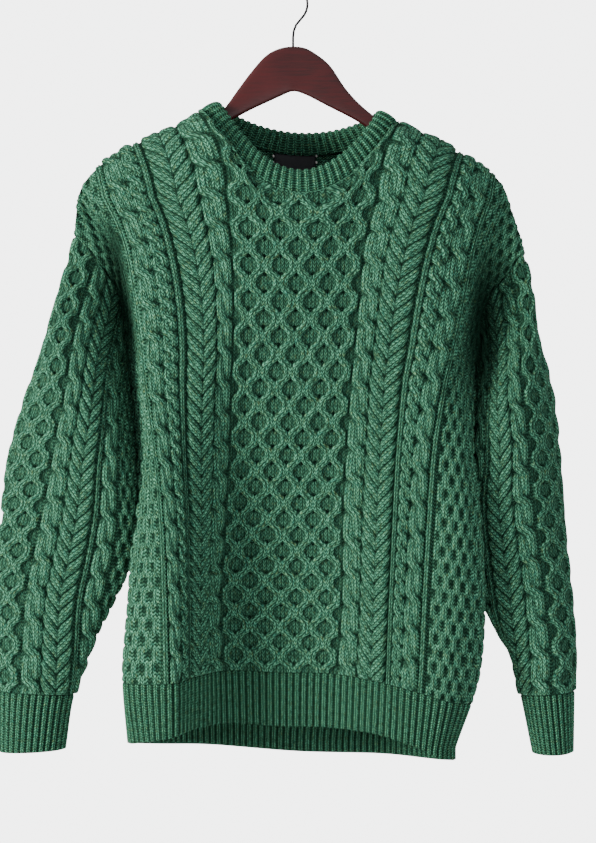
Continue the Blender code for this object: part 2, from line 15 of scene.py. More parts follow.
import bpy
import numpy as np
from mathutils import Vector
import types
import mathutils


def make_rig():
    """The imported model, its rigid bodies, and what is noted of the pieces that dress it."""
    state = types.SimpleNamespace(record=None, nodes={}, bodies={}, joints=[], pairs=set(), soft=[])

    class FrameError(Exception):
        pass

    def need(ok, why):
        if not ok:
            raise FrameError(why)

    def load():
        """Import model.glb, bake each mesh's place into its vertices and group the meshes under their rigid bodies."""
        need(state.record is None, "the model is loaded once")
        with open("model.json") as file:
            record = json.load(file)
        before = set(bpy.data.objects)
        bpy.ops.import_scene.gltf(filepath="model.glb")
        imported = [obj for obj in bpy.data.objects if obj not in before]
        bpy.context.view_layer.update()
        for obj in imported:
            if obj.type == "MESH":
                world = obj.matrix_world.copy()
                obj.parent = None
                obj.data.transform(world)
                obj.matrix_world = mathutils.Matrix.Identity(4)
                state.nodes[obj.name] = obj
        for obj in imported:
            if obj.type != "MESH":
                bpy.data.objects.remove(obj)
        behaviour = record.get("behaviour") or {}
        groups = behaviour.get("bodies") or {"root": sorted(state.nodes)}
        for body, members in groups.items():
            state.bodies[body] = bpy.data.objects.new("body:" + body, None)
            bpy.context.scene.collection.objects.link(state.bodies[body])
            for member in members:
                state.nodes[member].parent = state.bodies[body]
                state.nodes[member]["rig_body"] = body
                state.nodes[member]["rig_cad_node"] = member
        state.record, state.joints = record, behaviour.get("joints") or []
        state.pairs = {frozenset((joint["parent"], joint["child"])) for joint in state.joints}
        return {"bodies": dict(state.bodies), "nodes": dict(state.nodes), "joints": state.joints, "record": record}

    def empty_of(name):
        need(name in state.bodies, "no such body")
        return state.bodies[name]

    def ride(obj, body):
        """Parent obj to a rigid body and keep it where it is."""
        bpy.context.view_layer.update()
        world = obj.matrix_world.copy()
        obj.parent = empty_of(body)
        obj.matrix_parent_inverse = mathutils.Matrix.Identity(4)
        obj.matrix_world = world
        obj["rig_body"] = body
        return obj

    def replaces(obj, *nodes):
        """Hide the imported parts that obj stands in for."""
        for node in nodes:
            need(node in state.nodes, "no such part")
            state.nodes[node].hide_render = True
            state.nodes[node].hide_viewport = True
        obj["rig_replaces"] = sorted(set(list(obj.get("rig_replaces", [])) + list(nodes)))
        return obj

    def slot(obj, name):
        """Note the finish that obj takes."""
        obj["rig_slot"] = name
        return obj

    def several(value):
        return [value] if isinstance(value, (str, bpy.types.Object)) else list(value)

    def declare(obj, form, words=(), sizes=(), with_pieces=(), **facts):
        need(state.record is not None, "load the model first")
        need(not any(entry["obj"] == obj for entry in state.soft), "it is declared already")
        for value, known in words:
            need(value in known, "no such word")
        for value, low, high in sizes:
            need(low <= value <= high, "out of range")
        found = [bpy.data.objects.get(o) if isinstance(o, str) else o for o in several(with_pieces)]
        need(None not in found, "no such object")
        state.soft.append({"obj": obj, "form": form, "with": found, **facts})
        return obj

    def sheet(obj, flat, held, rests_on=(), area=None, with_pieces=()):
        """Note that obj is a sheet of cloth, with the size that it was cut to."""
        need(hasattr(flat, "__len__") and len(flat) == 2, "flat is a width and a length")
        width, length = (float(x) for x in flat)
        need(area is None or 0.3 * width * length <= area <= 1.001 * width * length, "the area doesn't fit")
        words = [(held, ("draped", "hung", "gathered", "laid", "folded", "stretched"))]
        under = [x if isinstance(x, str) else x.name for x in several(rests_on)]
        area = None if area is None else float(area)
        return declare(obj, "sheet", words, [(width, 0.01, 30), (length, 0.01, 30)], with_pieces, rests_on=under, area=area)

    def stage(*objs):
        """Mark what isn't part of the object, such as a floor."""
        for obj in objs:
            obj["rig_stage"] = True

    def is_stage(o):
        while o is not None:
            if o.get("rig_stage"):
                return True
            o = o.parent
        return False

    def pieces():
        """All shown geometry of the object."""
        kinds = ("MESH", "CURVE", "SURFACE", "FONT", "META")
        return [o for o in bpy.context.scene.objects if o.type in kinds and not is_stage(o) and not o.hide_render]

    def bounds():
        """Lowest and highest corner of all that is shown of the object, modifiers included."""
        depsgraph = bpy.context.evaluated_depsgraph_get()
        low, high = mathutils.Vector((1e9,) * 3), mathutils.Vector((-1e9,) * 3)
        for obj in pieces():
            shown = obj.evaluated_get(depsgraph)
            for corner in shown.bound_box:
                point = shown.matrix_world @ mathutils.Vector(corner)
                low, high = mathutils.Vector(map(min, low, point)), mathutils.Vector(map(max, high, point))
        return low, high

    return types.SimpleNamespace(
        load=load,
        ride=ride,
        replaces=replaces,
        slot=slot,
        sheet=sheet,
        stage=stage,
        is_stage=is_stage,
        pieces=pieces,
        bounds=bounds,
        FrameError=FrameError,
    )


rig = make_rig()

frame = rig.load()
CAD_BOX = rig.bounds()

MM = 0.001
WALE_WIDTH = 3.3        # one loop across, in plain cloth
RIB_COURSE = 2.8        # one loop up a rib
NO_STRAND = -999.0      # the ground between a cable's strands
FAR_BELOW = -99.0       # a height that never shows
# Painted shade on the inner face and the edges of every knitted shell.
INNER_SHADOW = 0.35     # how much darker the inner face is
LOG = logging.getLogger("sweater")
Array = np.ndarray
Socket = bpy.types.NodeSocket


class Face(Enum):
    """The two panels of the garment."""

    FRONT = "front"
    BACK = "back"

    @property
    def sense(self) -> float:
        """Give 1 for the front and -1 for the back."""
        return 1.0 if self is Face.FRONT else -1.0


class Side(Enum):
    """The wearer's sides, by the sign of x."""

    RIGHT = -1
    LEFT = 1


# ================================================================ small helpers
def linear(code: str) -> tuple[float, float, float, float]:
    """Turn an sRGB colour written as hex into linear values for a shader socket.

    Args:
        code: The colour as six hex digits after a hash.

    Returns:
        Linear red, green, blue and an alpha of one.
    """
    parts = [int(code[place:place + 2], 16) / 255.0 for place in (1, 3, 5)]
    red, green, blue = (c / 12.92 if c <= 0.04045 else ((c + 0.055) / 1.055) ** 2.4 for c in parts)
    return red, green, blue, 1.0


def smooth(values: Array, low: float, high: float) -> Array:
    """Ease values from 0 at the low one to 1 at the high one, level at both ends."""
    share = np.clip((np.asarray(values, float) - low) / (high - low), 0.0, 1.0)
    return share * share * (3.0 - 2.0 * share)


def through(knots: Array, rows: Array, at: Array, onward: int | None = None) -> Array:
    """Follow a smooth curve through rows of values at rising knots.

    Args:
        knots: Rising places of the rows.
        rows: Values at the knots.
        at: Places wanted.
        onward: A knot whose slope leans only on what follows it.

    Returns:
        The values at the places wanted.
    """
    knots, rows, at = (np.asarray(values, float) for values in (knots, rows, at))
    gaps = np.diff(knots)
    shape = (-1,) + (1,) * (rows.ndim - 1)
    rises = np.diff(rows, axis=0) / gaps.reshape(shape)
    slopes = np.empty_like(rows)
    slopes[0], slopes[-1] = rises[0], rises[-1]
    before, after = gaps[:-1].reshape(shape), gaps[1:].reshape(shape)
    slopes[1:-1] = (rises[:-1] * after + rises[1:] * before) / (before + after)
    if onward is not None:
        slopes[onward] = rises[onward]
    span = np.clip(np.searchsorted(knots, at, side="right") - 1, 0, len(gaps) - 1)
    t = (np.clip(at, knots[0], knots[-1]) - knots[span]) / gaps[span]
    t = t.reshape(t.shape + (1,) * (rows.ndim - 1))
    width = gaps[span].reshape(t.shape)
    lift, fall = slopes[span] * width, slopes[span + 1] * width
    return ((2 * t**3 - 3 * t**2 + 1) * rows[span] + (t**3 - 2 * t**2 + t) * lift
            + (3 * t**2 - 2 * t**3) * rows[span + 1] + (t**3 - t**2) * fall)


def running_length(points: Array, axis: int = 0) -> Array:
    """Measure along lines of points.

    Args:
        points: Points, with their three coordinates on the last axis.
        axis: The axis that a line runs along.

    Returns:
        The length from each line's start to each of its points.
    """
    steps = np.linalg.norm(np.diff(points, axis=axis), axis=-1)
    start = np.zeros_like(np.take(steps, [0], axis=axis))
    return np.cumsum(np.concatenate((start, steps), axis=axis), axis=axis)


class Graph:
    """Adds nodes to one node tree and wires them up."""

    def __init__(self, tree: bpy.types.NodeTree) -> None:
        """Keep the tree that the nodes go in."""
        self.tree = tree

    def wire(self, node: bpy.types.Node, inputs: dict) -> None:
        """Set or wire a node's inputs.

        Args:
            node: The node.
            inputs: Sockets, colours as hex or other values by the input's name or number.
        """
        for key, value in inputs.items():
            if isinstance(value, Socket):
                self.tree.links.new(value, node.inputs[key])
            elif isinstance(value, str) and value.startswith("#"):
                node.inputs[key].default_value = linear(value)
            else:
                node.inputs[key].default_value = value

    def add(self, kind: str, inputs: dict | None = None, **options: object) -> bpy.types.Node:
        """Add a node, set its options, and set or wire its inputs.

        Args:
            kind: Blender's name for the node's type, with its operation or data type after a colon.
            inputs: As in wire.
            **options: Other properties of the node.

        Returns:
            The new node.
        """
        kind, _, choice = kind.partition(":")
        node = self.tree.nodes.new(kind)
        if choice:
            setattr(node, "operation" if hasattr(node, "operation") else "data_type", choice)
        for name, value in options.items():
            setattr(node, name, value)
        self.wire(node, inputs or {})
        return node

    def out(self, kind: str, *values: object, **options: object) -> Socket:
        """Add a node and give its first live output.

        Args:
            kind: As in add.
            *values: Its live inputs in order, or one dict of them as in wire.
            **options: Other properties of the node.

        Returns:
            The output's socket.
        """
        node = self.add(kind, **options)
        live = [number for number, socket in enumerate(node.inputs) if socket.enabled]
        named = values and isinstance(values[0], dict)
        self.wire(node, values[0] if named else dict(zip(live, values)))
        return next(socket for socket in node.outputs if socket.enabled)


# ================================================================ finishes
def new_material(name: str) -> tuple[bpy.types.Material, Graph, bpy.types.Node]:
    """Start a material with a bare Principled shader.

    Args:
        name: The material's name.

    Returns:
        The material, its graph and its shader.
    """
    material = bpy.data.materials.new(name)
    material.use_nodes = True
    return material, Graph(material.node_tree), material.node_tree.nodes["Principled BSDF"]


@dataclass(frozen=True)
class HeatherWool:
    """Soft heathered wool. Loops in V columns, flecks spun into the yarn, painted shade between loops and strands."""

    name: str
    dark: str = "#3c6850"
    pale: str = "#73c09d"
    olive: str = "#839a5c"
    teal: str = "#30897a"
    # deep is a dark fleck in the yarn, and also the colour of all the painted shade.
    deep: str = "#0a261a"
    cleft: float = 0.32
    grain: float = 1.0
    loop_depth: float = 1.1

    def build(self) -> bpy.types.Material:
        """Build the wool.

        Returns:
            The material, which reads the piece's loops, shadow and purl values.
        """
        material, graph, shader = new_material(self.name)
        loops = graph.out("ShaderNodeUVMap", uv_map="loops")
        parts = graph.add("ShaderNodeSeparateXYZ", {0: loops})
        wale, course = parts.outputs[0], parts.outputs[1]
        shadow = graph.add("ShaderNodeAttribute", attribute_name="shadow").outputs["Fac"]
        purl = graph.add("ShaderNodeAttribute", attribute_name="purl").outputs["Fac"]
        stitch = self.stitches(graph, wale, course, purl)
        flecked = self.flecks(graph, loops)
        # Painted shade between the loops: where the yarn lies low, the colour goes towards deep.
        loop_gap_shade = graph.out("ShaderNodeMapRange", stitch, 0.2, 0.85, 0.9, 0.0)
        shaded = graph.out("ShaderNodeMix:RGBA", loop_gap_shade, flecked, self.deep)
        # Tufts 0.7 mm long. A single wool fibre is far too fine to show.
        fibre = graph.out("ShaderNodeTexNoise", {
            "Vector": graph.add("ShaderNodeTexCoord").outputs["Object"], "Scale": 1400.0,
            "Detail": 2.0, "Roughness": 0.6})
        height = graph.out("ShaderNodeMath:MULTIPLY_ADD", fibre, 0.35, stitch)
        # Painted shade: the pieces' shadow values darken the colour towards deep in creases, gutters, cell holes, on
        # the inner face and in the folds by the armholes.
        graph.wire(shader, {
            "Base Color": graph.out("ShaderNodeMix:RGBA", shadow, shaded, self.deep),
            "Normal": graph.out("ShaderNodeBump", {
                "Strength": 0.9, "Distance": self.loop_depth * MM, "Height": height}),
            "Roughness": 0.92, "Specular IOR Level": 0.1, "Sheen Weight": 0.02,
            "Sheen Roughness": 0.5, "Sheen Tint": "#9fd6b8"})
        return material

    def stitches(self, graph: Graph, wale: Socket, course: Socket, purl: Socket) -> Socket:
        """Draw knit loops as V legs, and purl loops as little bars.

        Args:
            graph: The material's graph.
            wale: Loops across the strand.
            course: Loops along the strand.
            purl: 1 where the cloth shows its purl side.

        Returns:
            Height of the yarn, from 0 between loops to 1.
        """
        off = graph.out("ShaderNodeMath:SUBTRACT", graph.out("ShaderNodeMath:FRACT", wale), 0.5)
        out = graph.out("ShaderNodeMath:MULTIPLY", graph.out("ShaderNodeMath:ABSOLUTE", off), 2.0)
        leg = graph.out("ShaderNodeMath:SUBTRACT", 1.0, graph.out("ShaderNodeMath:POWER", out, 3.0))
        middle = graph.out("ShaderNodeMapRange", out, 0.0, 0.4, self.cleft, 0.0)
        cleft = graph.out("ShaderNodeMath:SUBTRACT", leg, middle)
        rise = graph.out("ShaderNodeMath:MULTIPLY_ADD", out, -1.0, course)
        row = graph.out("ShaderNodeMath:COSINE", graph.out("ShaderNodeMath:MULTIPLY", rise, math.tau))
        row = graph.out("ShaderNodeMath:MULTIPLY_ADD", row, 0.36, 0.64)
        knit = graph.out("ShaderNodeMath:MULTIPLY", cleft, row)
        sway = graph.out("ShaderNodeMath:COSINE", graph.out("ShaderNodeMath:MULTIPLY", wale, math.tau))
        bent = graph.out("ShaderNodeMath:MULTIPLY_ADD", sway, 0.22, course)
        turn = graph.out("ShaderNodeMath:MULTIPLY", bent, math.tau)
        bar = graph.out("ShaderNodeMath:COSINE", turn)
        bars = graph.out("ShaderNodeMath:MULTIPLY_ADD", bar, 0.45, 0.5)
        return graph.out("ShaderNodeMix", purl, knit, bars)

    def flecks(self, graph: Graph, loops: Socket) -> Socket:
        """Mix the yarn's colours in short streaks along the strand.

        Args:
            graph: The material's graph.
            loops: The loops' UV map.

        Returns:
            The heathered colour.
        """
        colour = self.dark
        # A fleck is about 0.4 of a wale wide, 1.3 mm, and two courses long, 7 mm.
        for shift, across, along, low, high, most, other in (
                (0.0, 2.6, 0.55, 0.36, 0.6, 0.9, self.pale),
                (31.0, 2.6, 0.7, 0.55, 0.68, 0.5, self.olive),
                (67.0, 2.4, 0.6, 0.55, 0.68, 0.55, self.teal),
                (93.0, 2.8, 0.9, 0.52, 0.66, 0.6, self.deep)):
            placed = graph.add("ShaderNodeMapping", {
                "Vector": loops, "Location": (shift, shift, 0.0),
                "Scale": (across * self.grain, along, 1.0)})
            noise = graph.out("ShaderNodeTexNoise", {
                "Vector": placed.outputs[0], "Scale": 1.0, "Detail": 2.0})
            share = graph.out("ShaderNodeMapRange", noise, low, high, 0.0, most)
            colour = graph.out("ShaderNodeMix:RGBA", share, colour, other)
        return colour


@dataclass(frozen=True)
class WovenTape:
    """Black damask label tape: a fine close weave with a dull satin shine, and no words."""

    name: str = "black_woven_tape"

    def build(self) -> bpy.types.Material:
        """Build the tape's weave.

        Returns:
            The material.
        """
        material, graph, shader = new_material(self.name)
        place = graph.add("ShaderNodeTexCoord").outputs["Object"]
        # Warp 0.75 mm and weft 0.56 mm apart, about three times the real spacing, which is too
        # fine to show.
        warp = graph.add("ShaderNodeTexWave", {"Vector": place, "Scale": 420.0, "Distortion": 0.4},
                         bands_direction="X")
        weft = graph.add("ShaderNodeTexWave", {"Vector": place, "Scale": 560.0, "Distortion": 0.4},
                         bands_direction="Z")
        weave = graph.out("ShaderNodeMath:MULTIPLY", warp.outputs[1], weft.outputs[1])
        graph.wire(shader, {
            "Base Color": graph.out("ShaderNodeMix:RGBA", weave, "#101116", "#2b2d35"),
            "Normal": graph.out("ShaderNodeBump", {
                "Strength": 0.4, "Distance": 0.2 * MM, "Height": weave}),
            "Roughness": 0.62, "Sheen Weight": 0.08})
        return material


@dataclass(frozen=True)
class StainedBeech:
    """Beech under a dark red-brown stain and satin lacquer, its grain along the arms."""

    name: str = "mahogany_stained_beech"
    stain: str = "#3c1114"
    dark: str = "#260b0d"
    warm: str = "#54191a"

    def build(self) -> bpy.types.Material:
        """Build the stained wood.

        Returns:
            The material.
        """
        material, graph, shader = new_material(self.name)
        place = graph.add("ShaderNodeTexCoord").outputs["Object"]
        # Grain lines 37 mm long and 3 mm apart, and patches of stain 70 mm long.
        along = graph.add("ShaderNodeMapping", {"Vector": place, "Scale": (9.0, 90.0, 130.0)})
        grain = graph.out("ShaderNodeTexNoise", {
            "Vector": along.outputs[0], "Scale": 3.0, "Detail": 6.0, "Roughness": 0.62,
            "Distortion": 0.6})
        broad = graph.out("ShaderNodeTexNoise", {"Vector": place, "Scale": 14.0})
        streak = graph.out("ShaderNodeMapRange", grain, 0.42, 0.66, 0.0, 0.8)
        colour = graph.out("ShaderNodeMix:RGBA", streak, self.stain, self.dark)
        patch = graph.out("ShaderNodeMapRange", broad, 0.45, 0.7, 0.0, 0.45)
        graph.wire(shader, {
            "Base Color": graph.out("ShaderNodeMix:RGBA", patch, colour, self.warm),
            "Roughness": graph.out("ShaderNodeMapRange", grain, 0.3, 0.7, 0.30, 0.46),
            "Normal": graph.out("ShaderNodeBump", {
                "Strength": 0.25, "Distance": 0.3 * MM, "Height": grain}),
            "Specular IOR Level": 0.3, "Coat Weight": 0.15, "Coat Roughness": 0.25})
        return material


@dataclass(frozen=True)
class BlackWire:
    """Black lacquered steel wire with a soft gleam and faint handling marks."""

    name: str = "black_lacquered_wire"

    def build(self) -> bpy.types.Material:
        """Build the lacquered wire.

        Returns:
            The material.
        """
        material, graph, shader = new_material(self.name)
        place = graph.add("ShaderNodeTexCoord").outputs["Object"]
        # Handling marks 4 mm long.
        worn = graph.out("ShaderNodeTexNoise", {
            "Vector": place, "Scale": 260.0, "Detail": 3.0})
        rubbed = graph.out("ShaderNodeMapRange", worn, 0.5, 0.75, 0.0, 0.6)
        graph.wire(shader, {
            "Base Color": graph.out("ShaderNodeMix:RGBA", rubbed, "#17161a", "#34323a"),
            "Roughness": graph.out("ShaderNodeMapRange", worn, 0.3, 0.7, 0.28, 0.5), "Metallic": 0.6})
        return material


@dataclass(frozen=True)
class SewingThread:
    """Twisted sewing yarn, smoother than the wool it joins."""

    name: str = "linking_yarn"
    colour: str = "#2f6d52"
    shade: str = "#1c4434"

    def build(self) -> bpy.types.Material:
        """Build the yarn.

        Returns:
            The material.
        """
        material, graph, shader = new_material(self.name)
        place = graph.add("ShaderNodeTexCoord").outputs["Object"]
        # Turns of the ply 1.1 mm long.
        ply = graph.out("ShaderNodeTexNoise", {
            "Vector": place, "Scale": 900.0, "Detail": 3.0})
        graph.wire(shader, {
            "Base Color": graph.out("ShaderNodeMix:RGBA", ply, self.colour, self.shade),
            "Normal": graph.out("ShaderNodeBump", {
                "Strength": 0.6, "Distance": 0.3 * MM, "Height": ply}),
            "Roughness": 0.85})
        return material


# ================================================================ the hanging form
# Shoulder ridge: place across the cloth, then where the seam runs.
# across, x, z
RIDGE_RIGHT = (
    (-242, -229, -271), (-222, -227, -248), (-203, -225, -231), (-185, -219, -216),
    (-160, -202, -197), (-130, -173, -178), (-101, -138, -163), (-80, -115, -153),
)
RIDGE_LEFT = (
    (80, 139, -160), (101, 163, -171), (130, 194, -189), (160, 220, -205),
    (185, 234, -223), (203, 240, -242), (222, 247, -263), (242, 254, -286),
)
# How the front hangs: one row a level, and an (x, y) pair for each wale named on the first line.
WALES = (-242, -203, -160, -101, -62, 0, 62, 101, 160, 203, 242)
FRONT_HANG = (
    # level, side, moss, outer rib, plait, comb edge, centre, comb edge, plait, outer rib, moss, side
    (-232, (-246, -16), (-224, -10), (-187, -36), (-115, -50), (-63, -56), (16, -60),
     (94, -55), (142, -57), (210, -34), (238, -18), (262, -20)),
    (-286, (-206, -16), (-187, -20), (-169, -48), (-99, -56), (-58, -60), (11, -62),
     (80, -57), (125, -63), (196, -44), (220, -24), (254, -30)),
    (-340, (-182, 8), (-171, -2), (-159, -51), (-90, -58), (-56, -60), (9, -60),
     (75, -56), (114, -63), (185, -46), (203, 6), (220, 16)),
    (-394, (-174, 16), (-163, -8), (-152, -54), (-88, -57), (-57, -52), (7, -50),
     (70, -52), (107, -53), (174, -47), (191, -2), (208, 14)),
    (-434, (-169, 22), (-156, -31), (-148, -58), (-90, -55), (-59, -44), (3, -42),
     (66, -45), (102, -49), (165, -50), (192, -27), (203, 20)),
    (-495, (-167, 16), (-153, -36), (-139, -66), (-92, -52), (-61, -31), (0, -29),
     (62, -33), (99, -42), (155, -55), (190, -45), (198, -8)),
    (-575, (-168, 8), (-157, -44), (-131, -74), (-92, -51), (-66, -20), (-4, -18),
     (58, -27), (95, -42), (149, -54), (187, -56), (207, -28)),
    (-664, (-167, -10), (-166, -50), (-127, -79), (-94, -48), (-71, -14), (-7, -12),
     (57, -25), (92, -39), (144, -54), (182, -58), (210, -34)),
    (-745, (-172, -16), (-170, -56), (-125, -80), (-94, -46), (-68, -12), (-8, -10),
     (52, -18), (89, -33), (140, -54), (176, -58), (204, -32)),
    (-820, (-169, -15), (-162, -52), (-124, -74), (-95, -42), (-66, -8), (-8, 0),
     (50, -8), (86, -24), (135, -42), (162, -42), (180, -18)),
)
# Painted shade in the deep folds in front of the armholes: upper (x, z), lower (x, z), width, fade.
ARM_PITS = (
    ((-190, -248), (-166, -400), 15.0, 40.0),
    ((213, -300), (207, -440), 19.0, 45.0),
)
# How the back hangs. Its side edges are the front's below the underarm.
BACK_WALES = (-242, -203, -120, 0, 120, 203, 242)
BACK_HANG = (
    # level, side, near side, right fold, centre, left fold, near side, side
    (-232, (-240, 2), (-224, 6), (-157, 40), (12, 50), (176, 42), (238, 8), (262, 2)),
    (-286, (-218, 24), (-196, 42), (-142, 52), (10, 58), (160, 52), (228, 34), (253, 14)),
    (-340, (-186, 42), (-168, 52), (-122, 58), (7, 60), (142, 58), (200, 54), (220, 50)),
    (-394, (-173, 30), (-151, 50), (-106, 60), (4, 58), (124, 60), (182, 54), (208, 44)),
    (-434, None, (-146, 48), (-98, 66), (3, 54), (112, 66), (172, 46), None),
    (-495, None, (-148, 48), (-94, 68), (6, 50), (112, 68), (172, 36), None),
    (-575, None, (-150, 40), (-94, 68), (10, 46), (120, 66), (182, 16), None),
    (-664, None, (-152, 24), (-96, 66), (15, 44), (128, 62), (194, 2), None),
    (-745, None, (-152, 22), (-94, 66), (16, 42), (124, 62), (188, 3), None),
    (-820, None, (-148, 18), (-92, 60), (12, 40), (112, 54), (166, 10), None),
)
# Where the hem rib starts and ends: across, rib seam level, hem edge level
FRONT_HEM = (
    (-242, -746, -815), (-203, -748, -811), (-160, -746, -803), (-101, -741, -796),
    (-62, -739, -795), (0, -741, -799), (62, -742, -800), (101, -747, -803),
    (160, -758, -816), (203, -768, -828), (242, -773, -833),
)
BACK_HEM = (
    (-242, -746, -815), (-203, -754, -820), (-120, -762, -826), (0, -768, -831),
    (120, -773, -836), (203, -774, -836), (242, -773, -833),
)
# Sleeves: outer and inner edge of the flattened tube, its half depth, how far forward or back it
# hangs, where its top line lies, and how far it has settled from the armhole's shape to an oval.
# outer x, outer z, inner x, inner z, half depth, y, top line, settled
SLEEVE_RIGHT = (
    (-236, -299, -167, -449, 52, -2, 72, 0.15), (-245, -327, -164, -472, 54, -10, 63, 0.40),
    (-256, -361, -162, -496, 52, -20, 54, 0.60), (-267, -405, -161, -524, 44, -24, 51, 0.85),
    (-283, -456, -162, -553, 34, -24, 51, 1.0), (-300, -523, -164, -590, 25, -22, 51, 1.0),
    (-309, -590, -168, -627, 20, -16, 60, 1.0), (-314, -652, -187, -665, 22, -12, 70, 1.0),
    (-314, -706, -209, -709, 24, -10, 74, 1.0), (-312, -760, -230, -764, 25, -10, 79, 1.0),
    (-310, -825, -239, -822, 24, -10, 85, 1.0),
)
SLEEVE_LEFT = (
    (259, -309, 202, -450, 54, 4, 96, 0.15), (264, -333, 200, -466, 58, 8, 74, 0.35),
    (269, -359, 198, -483, 60, 12, 52, 0.60), (277, -396, 196, -503, 60, 14, 46, 0.85),
    (288, -450, 195, -532, 56, 18, 49, 1.0), (296, -524, 197, -569, 50, 20, 52, 1.0),
    (301, -591, 201, -617, 42, 20, 60, 1.0), (307, -654, 212, -665, 36, 15, 65, 1.0),
    (311, -713, 241, -719, 34, 10, 64, 1.0), (310, -762, 253, -766, 32, 8, 65, 1.0),
    (309, -827, 266, -829, 30, 8, 68, 1.0),
)


@dataclass(frozen=True)
class NeckEdge:
    """One edge of the neckband: half width, reaches and drops from the neck's sides."""

    half: float
    front: float
    back: float
    side: float
    front_drop: float
    back_drop: float


def cut_size(name: str, outer: Array, below: float = 0.0, layers: int = 1) -> dict[str, object]:
    """Measure on a smooth face the sheet that it was cut from.

    Args:
        name: What is cut, for the log.
        outer: The face's points in millimetres, by column and row.
        below: The share of the rows passed over before the widest is looked for.
        layers: How many times the sheet is folded over its length.

    Returns:
        The flat size in metres and the flat area in square metres, as a sheet states them.
    """
    across, along = np.diff(outer, axis=0), np.diff(outer, axis=1)
    widths = np.linalg.norm(across, axis=2).sum(axis=0)
    length = np.linalg.norm(along, axis=2).sum(axis=1).max() * layers
    area = np.linalg.norm(np.cross(across[:, :-1], along[:-1]), axis=2).sum() * layers
    width = widths[int(below * len(widths)):].max()
    size = {"flat": (round(width / 1e3, 3), round(length / 1e3, 3)), "area": round(area / 1e6, 4)}
    LOG.info("cut of the %s: %s", name, size)
    return size


